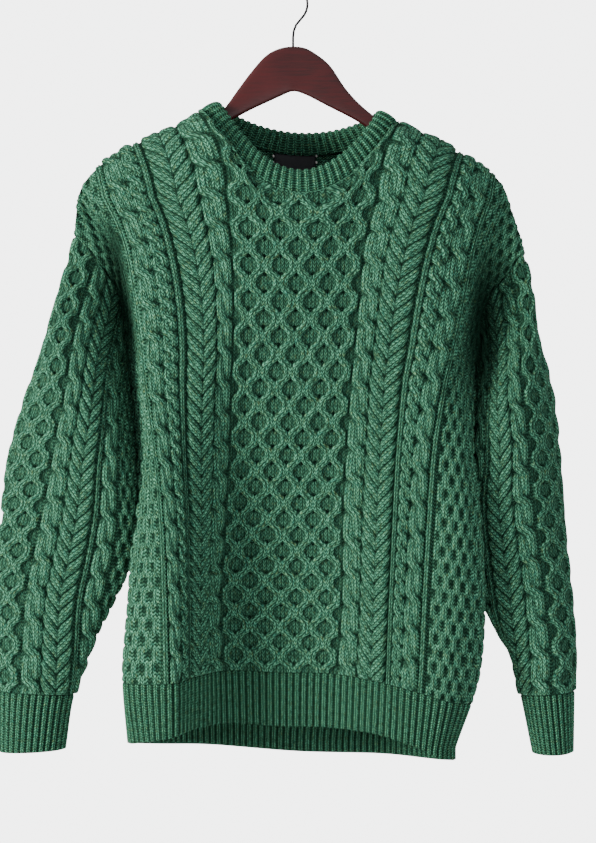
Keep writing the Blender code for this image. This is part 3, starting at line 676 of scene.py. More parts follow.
@dataclass(frozen=True)
class Form:
    """The sweater's hanging form, shared by every knitted piece."""

    half_front: float = 242.0
    neck_half: float = 62.0
    neck_centre: float = 12.0
    neck_tilt: float = -0.052
    neck_gap: float = 0.3
    armpit_z: float = -434.0
    roll: float = 46.0
    ease: float = 90.0
    bow_depth: float = 14.0
    bow_reach: float = 210.0
    hanger_centre: float = 6.0
    base: NeckEdge = NeckEdge(106.0, 58.0, 46.0, -142.5, 86.0, 33.0)
    crest: NeckEdge = NeckEdge(86.0, 51.0, 40.0, -130.0, 73.0, 24.0)

    def bow(self, x: float) -> float:
        """Find how far forward the hanger's arms, and the cloth on them, have bent at x."""
        reach = min(1.0, abs(x - self.hanger_centre) / self.bow_reach)
        return -self.bow_depth * reach ** 1.2

    def neck_point(self, edge: NeckEdge, angle: float) -> Array:
        """Place a point on the neckband's base or crest.

        Args:
            edge: The base or the crest.
            angle: Degrees round the neck: 0 is the front, 90 the wearer's left.

        Returns:
            The point.
        """
        sine, cosine = math.sin(math.radians(angle)), math.cos(math.radians(angle))
        x = self.neck_centre + edge.half * sine
        if cosine >= 0.0:
            reach, drop, power = -edge.front, edge.front_drop, 2.05 - 0.15 * sine
        else:
            reach, drop, power = edge.back, edge.back_drop, 1.7
        y = reach * abs(cosine) + self.bow(x) * abs(sine)
        fall = drop * abs(cosine) ** power
        return np.array((x, y, edge.side - fall + self.neck_tilt * (x - self.neck_centre)))

    @staticmethod
    def pit_shade(points: Array) -> Array:
        """Find how much of the light the deep folds between body and sleeves lose.

        Args:
            points: Points of the cloth.

        Returns:
            The share lost, 0 to 1.
        """
        lost = np.zeros(points.shape[:-1])
        for top, bottom, width, fade in ARM_PITS:
            level = points[..., 2]
            line = np.interp(level, (bottom[1], top[1]), (bottom[0], top[0]))
            near = np.exp(-(((points[..., 0] - line) / width) ** 2))
            inside = smooth(level, top[1] + fade, top[1] - fade) * smooth(
                level, bottom[1] - fade, bottom[1] + fade)
            lost = np.maximum(lost, 0.9 * near * inside)
        return lost * smooth(points[..., 1], 34.0, 14.0)

    def hang_table(self, face: Face) -> tuple[tuple, Array, Array]:
        """Gather one panel's hanging levels, with the other panel's wales past its side edges.

        Args:
            face: The front or the back.

        Returns:
            Places of the wales, the levels, and an (x, y) pair for each level and wale.
        """
        front_grid = np.array([row[1:] for row in FRONT_HANG], float)
        back_grid = np.array([[pair or (edge[1] if place == 0 else edge[-1])
                               for place, pair in enumerate(row[1:])]
                              for row, edge in zip(BACK_HANG, FRONT_HANG)], float)
        levels = np.array([row[0] for row in FRONT_HANG], float)
        own, other, wales = ((front_grid, back_grid, WALES) if face is Face.FRONT
                             else (back_grid, front_grid, BACK_WALES))
        reach = WALES[1] - WALES[0]
        joined = (levels <= self.armpit_z)[:, None]
        ghosts = [np.where(joined, other[:, inward], 2.0 * own[:, edge] - own[:, inward])[:, None]
                  for edge, inward in ((0, 1), (-1, -2))]
        places = (wales[0] - reach,) + tuple(wales) + (wales[-1] + reach,)
        return places, levels, np.concatenate((ghosts[0], own, ghosts[1]), axis=1)

    def panel_top(self, across: float, face: Face) -> Array:
        """Find where a wale ends at the top, on the shoulder ridge or on the neckline.

        Args:
            across: Place across the cloth.
            face: The front or the back.

        Returns:
            The point.
        """
        if abs(across) < self.neck_half:
            angle = 90.0 * across / self.neck_half
            angle = angle if face is Face.FRONT else 180.0 - angle
            base, crest = self.neck_point(self.base, angle), self.neck_point(self.crest, angle)
            return base + (base - crest) / np.linalg.norm(base - crest) * self.neck_gap
        side = math.copysign(1.0, across)
        neck = self.neck_point(self.base, 90.0 * side)
        foot = (self.neck_half * side, neck[0] + self.neck_gap * side, neck[2] - self.neck_gap)
        rows = RIDGE_RIGHT + (foot,) if side < 0 else (foot,) + RIDGE_LEFT
        x, z = through([row[0] for row in rows], [row[1:] for row in rows], across)
        return np.array((x, self.bow(x), z))

    def wale(self, across: float, face: Face, places: Array) -> Array:
        """Follow one wale down. Place 0 is its top, 1 the underarm, 2 the rib seam, 3 the hem.

        Args:
            across: Place across the cloth.
            face: The front or the back.
            places: Places wanted along it.

        Returns:
            A point for each place.
        """
        wales, levels, grid = self.hang_table(face)
        hang = through(wales, grid.transpose(1, 0, 2), across)
        hem = FRONT_HEM if face is Face.FRONT else BACK_HEM
        rib_z, hem_z = through([row[0] for row in hem], [row[1:] for row in hem], across)
        top = self.panel_top(across, face)
        drop = (top[2] - hem_z) * np.linspace(0.0, 1.0, 401) ** 2
        z = top[2] - drop
        onward = int(np.argmax(levels == self.armpit_z))
        x, y = through(-levels, hang, -z, onward=onward).T
        x = x + (top[0] - x[0]) * (1.0 - np.clip(drop / self.ease, 0.0, 1.0)) ** 2
        turned = np.sqrt(1.0 - (1.0 - np.clip(drop / self.roll, 0.0, 1.0)) ** 2)
        line = np.stack((x, top[1] + (y - top[1]) * turned, z), axis=1)
        length = running_length(line)
        marks = np.interp((-top[2], -self.armpit_z, -rib_z, -hem_z), -z, length)
        wanted = np.interp(places, (0.0, 1.0, 2.0, 3.0), marks)
        return np.stack([np.interp(wanted, length, line[:, axis]) for axis in range(3)], axis=1)

    def panel(self, face: Face, across: Array, places: Array) -> tuple[Array, Array]:
        """Lay a grid on the front or the back, with the direction into the cloth.

        Args:
            face: The front or the back.
            across: Places across the cloth.
            places: Places down each wale.

        Returns:
            The outer points and unit inward directions, both across by down by 3.
        """
        def grid(shift: float, along: Array) -> Array:
            """Lay the wales, each one shifted across."""
            return np.array([self.wale(u + shift, face, along) for u in across])

        step_u, step_v = 0.1, 0.01
        side = grid(step_u, places) - grid(-step_u, places)
        down = (grid(0.0, np.minimum(places + step_v, 3.0))
                - grid(0.0, np.maximum(places - step_v, 0.0)))
        ridge = np.outer(np.abs(across) >= self.neck_half, places < step_v)
        down[ridge] = (0.0, -face.sense, 0.0)
        inward = np.cross(side, down) * face.sense
        inward /= np.linalg.norm(inward, axis=2, keepdims=True)
        return grid(0.0, places), inward

    @staticmethod
    def oval(half_long: float, half_deep: float, start: float, shares: Array) -> Array:
        """Place points round an oval, at shares of its length from the top line.

        Args:
            half_long: Half its length from the outer to the inner edge.
            half_deep: Half its depth.
            start: The top line's angle.
            shares: Shares of the way round.

        Returns:
            A (long, deep) pair for each share.
        """
        turn = np.radians(np.linspace(start, start - 360.0, 721))
        ring = np.stack((-half_long * np.sin(turn), -half_deep * np.cos(turn)), axis=1)
        length = running_length(ring)
        wanted = np.asarray(shares) * length[-1]
        return np.stack([np.interp(wanted, length, ring[:, axis]) for axis in range(2)], axis=1)

    def sleeve_rings(self, armhole: Array, rows: tuple) -> Array:
        """Lay rings down a sleeve, from the armhole's loop to the cuff's edge.

        Args:
            armhole: The loop, from the shoulder down the front edge and back up behind.
            rows: The sleeve's table.

        Returns:
            The rings, each with the armhole's order of points.
        """
        def frame_of(outer: Array, inner: Array) -> tuple[Array, Array, Array]:
            """Find the middle between two edges, the way along and the way across."""
            along = (inner - outer) / np.linalg.norm(inner - outer)
            return (outer + inner) / 2.0, along, np.array((along[1], -along[0]))

        steps = np.linalg.norm(np.roll(armhole, -1, axis=0) - armhole, axis=1)
        shares = np.concatenate(((0.0,), np.cumsum(steps)))[:-1] / steps.sum()
        top, under = armhole[0][[0, 2]], armhole[len(armhole) // 2][[0, 2]]
        middle, along, across = frame_of(top, under)
        flat = armhole[:, [0, 2]] - middle
        half = np.linalg.norm(under - top) / 2.0
        own = np.stack((flat @ along / half, flat @ across / half, armhole[:, 1]), axis=1)
        rings = [armhole]
        for x_out, z_out, x_in, z_in, depth, y, top_line, settled in rows:
            outer, inner = np.array((x_out, z_out), float), np.array((x_in, z_in), float)
            middle, along, across = frame_of(outer, inner)
            half = np.linalg.norm(inner - outer) / 2.0
            plain = self.oval(half, depth, top_line, shares)
            long = own[:, 0] * half * (1.0 - settled) + plain[:, 0] * settled
            side = own[:, 1] * half * (1.0 - settled)
            deep = own[:, 2] * (1.0 - settled) + (plain[:, 1] + y) * settled
            flat = middle + long[:, None] * along + side[:, None] * across
            rings.append(np.stack((flat[:, 0], deep, flat[:, 1]), axis=1))
        return np.array(rings)

    @staticmethod
    def tube(rings: Array, places: Array) -> tuple[Array, Array]:
        """Lay a grid on a tube through rings, with the direction into the cloth.

        Args:
            rings: The rings.
            places: Places along the tube, counted in rings.

        Returns:
            The outer points and unit inward directions, both around by down by 3.
        """
        knots = np.arange(len(rings), dtype=float)
        outer = through(knots, rings, places).transpose(1, 0, 2)
        down = (through(knots, rings, np.minimum(places + 0.05, knots[-1]))
                - through(knots, rings, np.maximum(places - 0.05, 0.0))).transpose(1, 0, 2)
        around = np.roll(outer, -1, axis=0) - np.roll(outer, 1, axis=0)
        inward = np.cross(around, down)
        inward /= np.linalg.norm(inward, axis=2, keepdims=True)
        middle = outer.mean(axis=0, keepdims=True)
        sense = 1.0 if ((middle - outer) * inward).sum() > 0.0 else -1.0
        return outer, inward * sense


# ================================================================ the knitter's chart
@dataclass(frozen=True)
class Band:
    """One upright band of the chart. Places are millimetres across it and up from the rib."""

    centre: float
    width: float
    wales: int = 2
    row: float = 3.9
    floor: float = -1.8
    # Painted shade over the whole of a plain band, such as a purl gutter.
    shadow: float = 0.72

    def pick(self, u: Array, v: Array) -> tuple[Array, Array, Array]:
        """Find what lies on top at each place.

        Args:
            u: Places across, from the band's own centre.
            v: Places up from the rib seam.

        Returns:
            Height of the cloth, number of the strand on top, and how purl it is.
        """
        ripple = 0.25 * np.cos(math.tau * v / (2.0 * self.row)) * np.cos(math.tau * u / 6.6)
        return self.floor + ripple, np.zeros_like(u), np.ones_like(u)

    def loops(self, strand: Array, u: Array, v: Array) -> tuple[Array, Array, Array]:
        """Find where places lie on their strand.

        Args:
            strand: The strand that each place belongs to.
            u: Places across, from the band's own centre.
            v: Places up from the rib seam.

        Returns:
            Loops across the strand, loops along it, and the painted shade of the crease that the place lies in.
        """
        return u / WALE_WIDTH, v / self.row, np.full_like(u, self.shadow)


@dataclass(frozen=True)
class PlainWales(Band):
    """A narrow rib of upright knit wales, each one rounded."""

    height: float = 2.6

    def pick(self, u: Array, v: Array) -> tuple[Array, Array, Array]:
        """Round each wale. Arguments and results are as in Band."""
        place = np.clip((u / self.width + 0.5) * self.wales, 0.0, self.wales - 1e-6)
        across = 2.0 * (place % 1.0) - 1.0
        crown = np.clip(1.0 - across**2, 0.0, 1.0) ** 0.5
        return self.floor + (self.height - self.floor) * crown, np.floor(place), np.zeros_like(u)

    def loops(self, strand: Array, u: Array, v: Array) -> tuple[Array, Array, Array]:
        """Count wales across the rib. Arguments and results are as in Band."""
        across = (u / self.width + 0.5) * self.wales
        # Painted shade at each wale's edges.
        edge = np.abs(2.0 * (across - strand) - 1.0)
        return across, v / self.row, self.shadow * np.clip(edge, 0.0, 1.0) ** 4


@dataclass(frozen=True)
class Rope(Band):
    """A two-strand cable. Each strand comes up from behind, crosses over and goes under again."""

    period: float = 17.0
    phase: float = 0.0
    twist: float = 1.0
    sweep: float = 0.42
    reach: float = 0.25
    height: float = 3.8
    dip: float = 3.6
    plump: float = 1.2
    crown: float = 0.5
    quiet: float = 1.0
    waist: float = 0.42

    def line(self, strand: Array, v: Array) -> tuple[Array, Array, Array]:
        """Follow strands' centre lines.

        Args:
            strand: Numbers of the strands, counted up the cable.
            v: Places up from the rib seam.

        Returns:
            Place across, its slope, and the distance from the strand's crossing in periods.
        """
        reach = self.width * self.reach
        away = v - self.phase - strand * self.period
        share = np.clip(away / (self.sweep * self.period), -1.0, 1.0)
        swell = 0.84 + 0.16 * np.sin(math.pi * np.clip(np.abs(away / self.period), 0.0, 1.0))
        x = -self.twist * reach * swell * np.sin(share * math.pi / 2.0)
        slope = reach * math.pi / 2.0 / (self.sweep * self.period) * np.cos(share * math.pi / 2.0)
        return x, slope, away / self.period

    def off(self, strand: Array, u: Array, v: Array) -> tuple[Array, Array, Array]:
        """Measure how far places lie off a strand's centre line, 1 at its edge.

        Args:
            strand: The strands.
            u: Places across, from the band's own centre.
            v: Places up from the rib seam.

        Returns:
            The offset, the line's slope, and the distance from its crossing in periods.
        """
        x, slope, away = self.line(strand, v)
        thin = 1.0 - self.waist * smooth(np.abs(away), 0.74, 0.98)
        half = self.plump * thin * self.width / 4.0
        return (u - x) / np.sqrt(1.0 + slope**2) / half, slope, away

    def level(self, strand: Array, u: Array, v: Array) -> Array:
        """Find how high a strand stands; far below the ground off its edges.

        Args:
            strand: The strands.
            u: Places across, from the band's own centre.
            v: Places up from the rib seam.

        Returns:
            The heights.
        """
        off, _, away = self.off(strand, u, v)
        round_top = np.clip(1.0 - off**2, 0.0, 1.0) ** self.crown
        height = self.floor + (self.height - self.floor) * round_top - self.dip * away**2
        return np.where(np.abs(off) < 1.0, height, FAR_BELOW)

    def pick(self, u: Array, v: Array) -> tuple[Array, Array, Array]:
        """Lay the strands over each other. Arguments and results are as in Band."""
        best, _, purl = super().pick(u, v)
        winner = np.full_like(u, NO_STRAND)
        first = np.floor((v - self.phase) / self.period)
        for step in (-1.0, 0.0, 1.0, 2.0):
            height = self.level(first + step, u, v)
            above = height > best
            best = np.where(above, height, best)
            winner = np.where(above, first + step, winner)
            purl = np.where(above, 0.0, purl)
        return best, winner, purl

    def loops(self, strand: Array, u: Array, v: Array) -> tuple[Array, Array, Array]:
        """Count wales across the strand. Arguments and results are as in Band."""
        off, slope, away = self.off(strand, u, v)
        ground = strand == NO_STRAND
        across = np.where(ground, u / WALE_WIDTH, (off + 1.0) / 2.0 * self.wales)
        along = v / self.row + np.where(ground, 0.0, 13.0 * strand)
        # Painted shade along the strand's edges, where it dives under the next, where another laps it and over the
        # ground between strands; less on top of its crossing.
        lean = np.clip(slope / max(1e-6, float(np.max(slope))), 0.0, 1.0)
        edge = np.clip(np.abs(off), 0.0, 1.0) ** 3.0 * (self.quiet + (1.0 - self.quiet) * lean)
        under = smooth(np.abs(away), 0.7, 1.0)
        cap = 0.3 * smooth(0.2 - np.abs(away), 0.0, 0.2) * self.quiet
        other = np.maximum(self.level(strand - 1.0, u, v), self.level(strand + 1.0, u, v))
        lap = smooth(self.level(strand, u, v) - other, 1.3, 0.2)
        lap = lap * (0.3 + 0.65 * smooth(np.abs(away), 0.3, 0.6))
        shadow = np.clip(0.8 * edge + 0.9 * under + lap - cap, 0.0, 0.95)
        return across, along, np.where(ground, 0.8, shadow)


@dataclass(frozen=True)
class Chevron(Band):
    """A V plait. Its arms rise from the middle to both sides, each one lapped by the next."""

    period: float = 17.05
    phase: float = 0.0
    rise: float = 0.86
    height: float = 4.6
    arm: float = 0.84
    scallop: float = 0.17

    def turn(self, u: Array, v: Array) -> Array:
        """Count arms up the plait. They leave the middle steeply and end steeply.

        Args:
            u: Places across, from the band's own centre.
            v: Places up from the rib seam.

        Returns:
            The arm's number and the share of the arm passed.
        """
        half = self.width / 2.0
        out = np.abs(u) / half
        bend = 0.32 * out**5 + 0.16 * (1.0 - np.clip(1.0 - out, 0.0, 1.0) ** 4)
        return (v - self.phase - half * (self.rise * out + bend)) / self.period

    def profile(self, u: Array, v: Array) -> tuple[Array, Array]:
        """Find how places lie across their arm.

        Args:
            u: Places across, from the band's own centre.
            v: Places up from the rib seam.

        Returns:
            Offset from the arm's middle, 1 at its edges, and the arm's number.
        """
        turn = self.turn(u, v)
        arm = np.floor(turn)
        return 2.0 * (turn - arm) - 1.0, arm

    def pick(self, u: Array, v: Array) -> tuple[Array, Array, Array]:
        """Round each arm. Arguments and results are as in Band."""
        off, arm = self.profile(u, v)
        lean = np.where(off > 0.0, np.clip(off, 0.0, 1.0) ** 1.5, np.clip(-off, 0.0, 1.0) ** 3.0)
        crown = np.clip(1.0 - lean, 0.0, 1.0) ** 0.5
        end = 2.0 * np.abs(u) / self.width / (1.0 - self.scallop * off**2)
        side = np.clip(1.0 - end**8, 0.0, 1.0) ** 0.5
        middle = 1.0 - 0.3 * np.exp(-(u / 1.6) ** 2)
        base = self.floor + 1.5
        height = base + (self.height - base) * crown * side * middle
        return height, arm, np.zeros_like(u)

    def loops(self, strand: Array, u: Array, v: Array) -> tuple[Array, Array, Array]:
        """Count wales across the arm. Arguments and results are as in Band."""
        off = 2.0 * (self.turn(u, v) - strand) - 1.0
        across = (off + 1.0) / 2.0 * 3.0
        along = np.abs(u) * math.hypot(1.0, self.rise) / self.row + 7.0 * strand
        # Painted shade along each arm's edges, most under the arm that laps it, at the apex and past the arms' ends.
        lower = np.clip(-off, 0.0, 1.0) ** 6
        upper = smooth(off, self.arm - 0.3, 1.0)
        reach = 0.7 + 0.3 * np.exp(-(u / 9.0) ** 2)
        apex = np.exp(-(u / 2.0) ** 2) * smooth(off, 0.3, 0.8)
        end = 2.0 * np.abs(u) / self.width / (1.0 - self.scallop * off**2)
        shadow = reach * (0.55 * lower + 0.88 * upper) + 0.7 * apex + 0.85 * smooth(end, 0.94, 1.06)
        return across + np.where(u < 0.0, 0.0, 40.0), along, np.clip(shadow, 0.0, 0.95)


@dataclass(frozen=True)
class Honeycomb(Band):
    """Two-wale strands that part and meet round sunken cells, with a hole at each cell's tips."""

    cells: int = 4
    period: float = 31.2
    phase: float = 0.0
    stretch: float = 0.000593
    settled: float = 360.0
    square: float = 1.15
    strand_width: float = 9.3
    lap: float = 1.2
    height: float = 2.7
    hole: float = 3.6

    def swing(self, v: Array) -> Array:
        """Find how far the strands have swung.

        Args:
            v: Places up from the rib seam.

        Returns:
            The swing, 1 where the full row of cells is open and -1 where the row between is.
        """
        turns = v / self.period
        if self.stretch:
            grown = np.minimum(v, self.settled)
            full = self.period * (1.0 + self.stretch * self.settled)
            turns = (np.log1p(self.stretch * grown) / (self.stretch * self.period)
                     + (v - grown) / full)
        wave = np.cos(math.tau * (turns - self.phase))
        return np.tanh(self.square * wave) / math.tanh(self.square)

    def strand_lines(self, v: Array) -> tuple[list[Array], Array]:
        """Follow every strand's centre line.

        Args:
            v: Places up from the rib seam.

        Returns:
            Place across for each strand, and half a strand's width measured level.
        """
        half_cell = self.width / (2.0 * self.cells)
        reach = (half_cell - self.strand_width) / 2.0 + self.lap
        swing = self.swing(v)
        slope = reach * (self.swing(v + 0.3) - self.swing(v - 0.3)) / 0.6
        lines = []
        for number in range(2 * self.cells):
            home = (number + 0.5) * half_cell - self.width / 2.0
            lines.append(home - (1.0 if number % 2 == 0 else -1.0) * reach * swing)
        return lines, self.strand_width / 2.0 * np.sqrt(1.0 + slope**2)

    def cell(self, u: Array, v: Array) -> tuple[Array, Array]:
        """Find how deep in a cell and in a cell's holes places lie.

        Args:
            u: Places across, from the band's own centre.
            v: Places up from the rib seam.

        Returns:
            The cell's belly, 0 to 1, and the holes', 0 to 1.
        """
        lines, radius = self.strand_lines(v)
        later, _ = self.strand_lines(v + 0.5)
        belly, pit = np.zeros_like(u), np.zeros_like(u)
        for left, right, left_on, right_on in zip(lines, lines[1:], later, later[1:]):
            gap = right - left - 2.0 * radius
            opens = right_on - left_on > right - left
            inside = np.clip(1.0 - (2.0 * (u - (left + right) / 2.0)
                                    / np.maximum(gap + 3.0, 0.6)) ** 2, 0.0, 1.0)
            belly = np.maximum(belly, smooth(gap, 4.0, 11.0) * inside)
            tip = np.where(opens, smooth(gap, 7.5, 4.5), 0.75 * smooth(gap, 6.0, 2.5))
            pit = np.maximum(pit, tip * np.sqrt(inside) * (gap > -1.5))
        return belly, pit

    def pick(self, u: Array, v: Array) -> tuple[Array, Array, Array]:
        """Lay the strands over the cells. Arguments and results are as in Band."""
        belly, pit = self.cell(u, v)
        best = self.floor + 1.0 * belly - self.hole * pit
        winner = np.full_like(u, NO_STRAND)
        lines, radius = self.strand_lines(v)
        for number, line in enumerate(lines):
            off = (u - line) / radius
            height = self.floor + (self.height - self.floor) * np.clip(
                1.0 - off**4, 0.0, 1.0) ** 0.5
            above = (np.abs(off) < 1.0) & (height > best)
            best = np.where(above, height, best)
            winner = np.where(above, float(number), winner)
        return best, winner, np.zeros_like(u)

    def loops(self, strand: Array, u: Array, v: Array) -> tuple[Array, Array, Array]:
        """Count wales across the strand or the cell. Arguments and results are as in Band."""
        lines, radius = self.strand_lines(v)
        belly, pit = self.cell(u, v)
        across = u / 3.9
        # Painted shade in the cells, less on their bellies and most in the holes at their tips, and a little at the
        # strands' edges.
        shadow = 0.66 - 0.2 * belly + 0.7 * pit
        open_side = smooth(np.abs(self.swing(v)), 0.0, 1.0)
        for number, line in enumerate(lines):
            here = strand == number
            off = (u - line) / radius
            across = np.where(here, off / 2.0 * self.wales, across)
            edge = np.clip(np.abs(off), 0.0, 1.0) ** 6
            shadow = np.where(here, 0.17 + 0.35 * open_side * edge, shadow)
        along = v / self.row + np.where(strand < 0.0, 0.0, 13.0 * strand)
        return across, along, np.clip(shadow, 0.0, 0.97)


@dataclass(frozen=True)
class DoubleMoss(Band):
    """Two-wale blocks of knit and purl, set like a chessboard."""

    pair: float = 14.2
    courses: float = 30.6
    swell: float = 1.9

    def board(self, u: Array, v: Array) -> Array:
        """Find how knit or purl each place is.

        Args:
            u: Places across the cloth.
            v: Places up from the rib seam.

        Returns:
            From 1 for knit to -1 for purl.
        """
        lean = 0.9 * np.sin(v / 37.0)
        across = np.cos(math.tau * (u + lean) / self.pair)
        up = np.cos(math.tau * v / self.courses)
        return np.tanh(3.6 * across * up)

    def pick(self, u: Array, v: Array) -> tuple[Array, Array, Array]:
        """Raise the knit blocks. Arguments and results are as in Band."""
        board = self.board(u, v)
        bars = 0.35 * np.cos(math.tau * v / (2.0 * self.row)) * smooth(-board, 0.0, 0.6)
        return self.swell * board + bars - 0.3, np.zeros_like(u), smooth(-board, 0.1, 0.5)

    def loops(self, strand: Array, u: Array, v: Array) -> tuple[Array, Array, Array]:
        """Paint shade on the sunken purl blocks, most at their tops. Arguments and results are as in Band."""
        board = self.board(u, v)
        rise = (v / self.courses * 2.0 + 0.5) % 1.0
        shadow = smooth(-board, 0.35, 0.95) * (0.62 + 0.36 * smooth(rise, 0.2, 0.6))
        return u / 3.425, v / self.row, np.clip(shadow, 0.0, 0.93)


@dataclass(frozen=True)
class Chart:
    """Bands side by side, and moss or purl where no band is."""

    bands: tuple[Band, ...]
    ground: Band

    def band_at(self, u: Array) -> Array:
        """Find the band at each place.

        Args:
            u: Places across the cloth.

        Returns:
            The bands' numbers, -1 for the ground.
        """
        found = np.full(u.shape, -1)
        for number, band in enumerate(self.bands):
            found[np.abs(u - band.centre) < band.width / 2.0 + 0.2] = number
        return found

    def of(self, number: int) -> Band:
        """Give a band by its number, the ground for -1."""
        return self.ground if number < 0 else self.bands[number]

    def read(self, u: Array, v: Array) -> tuple[Array, Array, Array, Array]:
        """Read the chart at places in the cloth.

        Args:
            u: Places across the cloth.
            v: Places up from the rib seam.

        Returns:
            Height, band, strand and how purl the cloth is.
        """
        bands = self.band_at(u)
        height, strand, purl = (np.zeros_like(u) for _ in range(3))
        for number in np.unique(bands):
            here = bands == number
            band = self.of(number)
            height[here], strand[here], purl[here] = band.pick(u[here] - band.centre, v[here])
        return height, bands, strand, purl

    def loops(self, bands: Array, strand: Array, u: Array, v: Array) -> tuple[Array, Array, Array]:
        """Place cloth on its strands.

        Args:
            bands: The band that each place belongs to.
            strand: The strand that it belongs to.
            u: Places across the cloth.
            v: Places up from the rib seam.

        Returns:
            Loops across the strand, loops along it, and the painted shade of the crease that the place lies in.
        """
        across, along, shadow = (np.zeros_like(u) for _ in range(3))
        for number in np.unique(bands):
            here = bands == number
            band = self.of(number)
            part = band.loops(strand[here], u[here] - band.centre, v[here])
            across[here], along[here], shadow[here] = part[0] + 20.0 * number, part[1], part[2]
        return across, along, shadow


MOSS_GROUND = DoubleMoss(0.0, 10.0)


def wide_rope(centre: float, phase: float, width: float = 19.6, sense: float = 1.0) -> Rope:
    """Set a six-wale rope. Sense is 1 where u runs to the viewer's right, -1 to the left."""
    return Rope(centre, width, wales=3, period=33.45, phase=phase, twist=sense, sweep=0.22,
                plump=1.2, crown=0.4, height=4.4, dip=4.6, quiet=0.25)


def body_chart() -> Chart:
    """Chart the front and the back.

    Returns:
        The chart: honeycomb, then cables, plait and ribs to each side, then moss.
    """
    bands: list[Band] = [Honeycomb(0.0, 124.0, phase=0.545)]
    for side, wide_phase, plait_phase, small_phase, outer_phase in (
            (-1.0, 10.4, 7.3, 9.0, -2.3), (1.0, 10.4, 1.35, 9.0, -2.3)):
        bands += [
            Band(side * 63.1, 2.4, shadow=0.84),
            wide_rope(side * 74.5, wide_phase, width=20.6),
            Chevron(side * 101.0, 32.4, phase=plait_phase),
            Band(side * 118.2, 2.0),
            PlainWales(side * 121.4, 5.0),
            Band(side * 124.4, 1.2),
            Rope(side * 131.4, 13.4, phase=small_phase, period=17.0, sweep=0.36, plump=1.22,
                 height=4.9, dip=4.6),
            wide_rope(side * 147.5, outer_phase, width=19.0),
            Band(side * 157.7, 1.8),
            PlainWales(side * 161.4, 6.0),
            Band(side * 166.2, 3.6),
        ]
    return Chart(tuple(bands), MOSS_GROUND)


def sleeve_chart(sense: float) -> Chart:
    """Chart a sleeve, from its top line round to the underarm on both sides.

    Args:
        sense: 1 where the chart runs to the viewer's right in front, -1 where to the left.

    Returns:
        The chart: two honeycomb cells on top, then cable, plait, rib and cable, then moss.
    """
    bands: list[Band] = [Honeycomb(0.0, 62.0, cells=2, period=34.0, stretch=0.0, phase=0.5)]
    for side in (-1.0, 1.0):
        bands += [
            Band(side * 32.8, 3.6),
            wide_rope(side * 44.8, 12.0, width=20.0, sense=sense),
            Chevron(side * 71.2, 31.6, phase=5.0),
            Band(side * 88.4, 2.4),
            PlainWales(side * 92.0, 5.2),
            Band(side * 95.6, 2.2),
            wide_rope(side * 106.4, 2.0, sense=sense),
            Band(side * 117.8, 3.2),
        ]
    return Chart(tuple(bands), MOSS_GROUND)


# ================================================================ shells
def link(name: str, data: bpy.types.ID) -> bpy.types.Object:
    """Put data in the scene as an object at the origin.

    Args:
        name: The object's name.
        data: A mesh, a curve, a light or a camera.

    Returns:
        The object.
    """
    piece = bpy.data.objects.new(name, data)
    bpy.context.scene.collection.objects.link(piece)
    return piece


def mesh_from(name: str, points: Array, faces: list[Array]) -> bpy.types.Mesh:
    """Make a smooth mesh in metres.

    Args:
        name: The mesh's name.
        points: Points in millimetres.
        faces: Arrays of faces, each with one number of corners.

    Returns:
        The mesh. Its loops keep the order of the faces given.
    """
    mesh = bpy.data.meshes.new(name)
    mesh.vertices.add(len(points))
    mesh.vertices.foreach_set("co", (points * MM).astype(np.float32).ravel())
    corners = np.concatenate([face.ravel() for face in faces]).astype(np.int32)
    sizes = np.concatenate([np.full(len(face), face.shape[1]) for face in faces])
    mesh.loops.add(len(corners))
    mesh.loops.foreach_set("vertex_index", corners)
    mesh.polygons.add(len(sizes))
    starts = np.concatenate(((0,), np.cumsum(sizes)[:-1])).astype(np.int32)
    mesh.polygons.foreach_set("loop_start", starts)
    mesh.update(calc_edges=True)
    mesh.polygons.foreach_set("use_smooth", np.ones(len(sizes), bool))
    return mesh


def keep_numbers(mesh: bpy.types.Mesh, name: str, domain: str, numbers: Array) -> None:
    """Keep numbers on a mesh, or vectors where they have three columns.

    Args:
        mesh: The mesh.
        name: The attribute's name.
        domain: POINT or CORNER.
        numbers: The values, one row a point or a corner.
    """
    vectors = numbers.ndim == 2
    field = mesh.attributes.new(name, "FLOAT_VECTOR" if vectors else "FLOAT", domain)
    field.data.foreach_set("vector" if vectors else "value", numbers.astype(np.float32).ravel())


def keep_loops(mesh: bpy.types.Mesh, placed: Array) -> None:
    """Keep each corner's loops across and along its strand as the piece's own map."""
    layer = mesh.uv_layers.new(name="loops")
    layer.data.foreach_set("uv", placed.astype(np.float32).ravel())


def baked(shape: bpy.types.Object) -> bpy.types.Mesh:
    """Turn an object with its modifiers into a plain mesh.

    Args:
        shape: The object. It is removed.

    Returns:
        The mesh.
    """
    bpy.context.view_layer.update()
    ready = shape.evaluated_get(bpy.context.evaluated_depsgraph_get())
    mesh = bpy.data.meshes.new_from_object(ready)
    bpy.data.objects.remove(shape, do_unlink=True)
    return mesh


def outwards(points: Array, faces: list[Array], placed: list[Array]
             ) -> tuple[list[Array], list[Array]]:
    """Turn a closed shape's faces over, with their corners' values, where they face inwards.

    Args:
        points: The points.
        faces: Arrays of faces, each with one number of corners.
        placed: Values of each array's corners, one row a corner.

    Returns:
        The faces and their corners' values.
    """
    volume = 0.0
    for face in faces:
        for last in range(2, face.shape[1]):
            a, b, c = points[face[:, 0]], points[face[:, last - 1]], points[face[:, last]]
            volume += np.einsum("ij,ij->i", a, np.cross(b, c)).sum()
    if volume >= 0.0:
        return faces, placed
    turned = [part.reshape(len(face), -1, part.shape[1])[:, ::-1].reshape(part.shape)
              for face, part in zip(faces, placed)]
    return [face[:, ::-1] for face in faces], turned


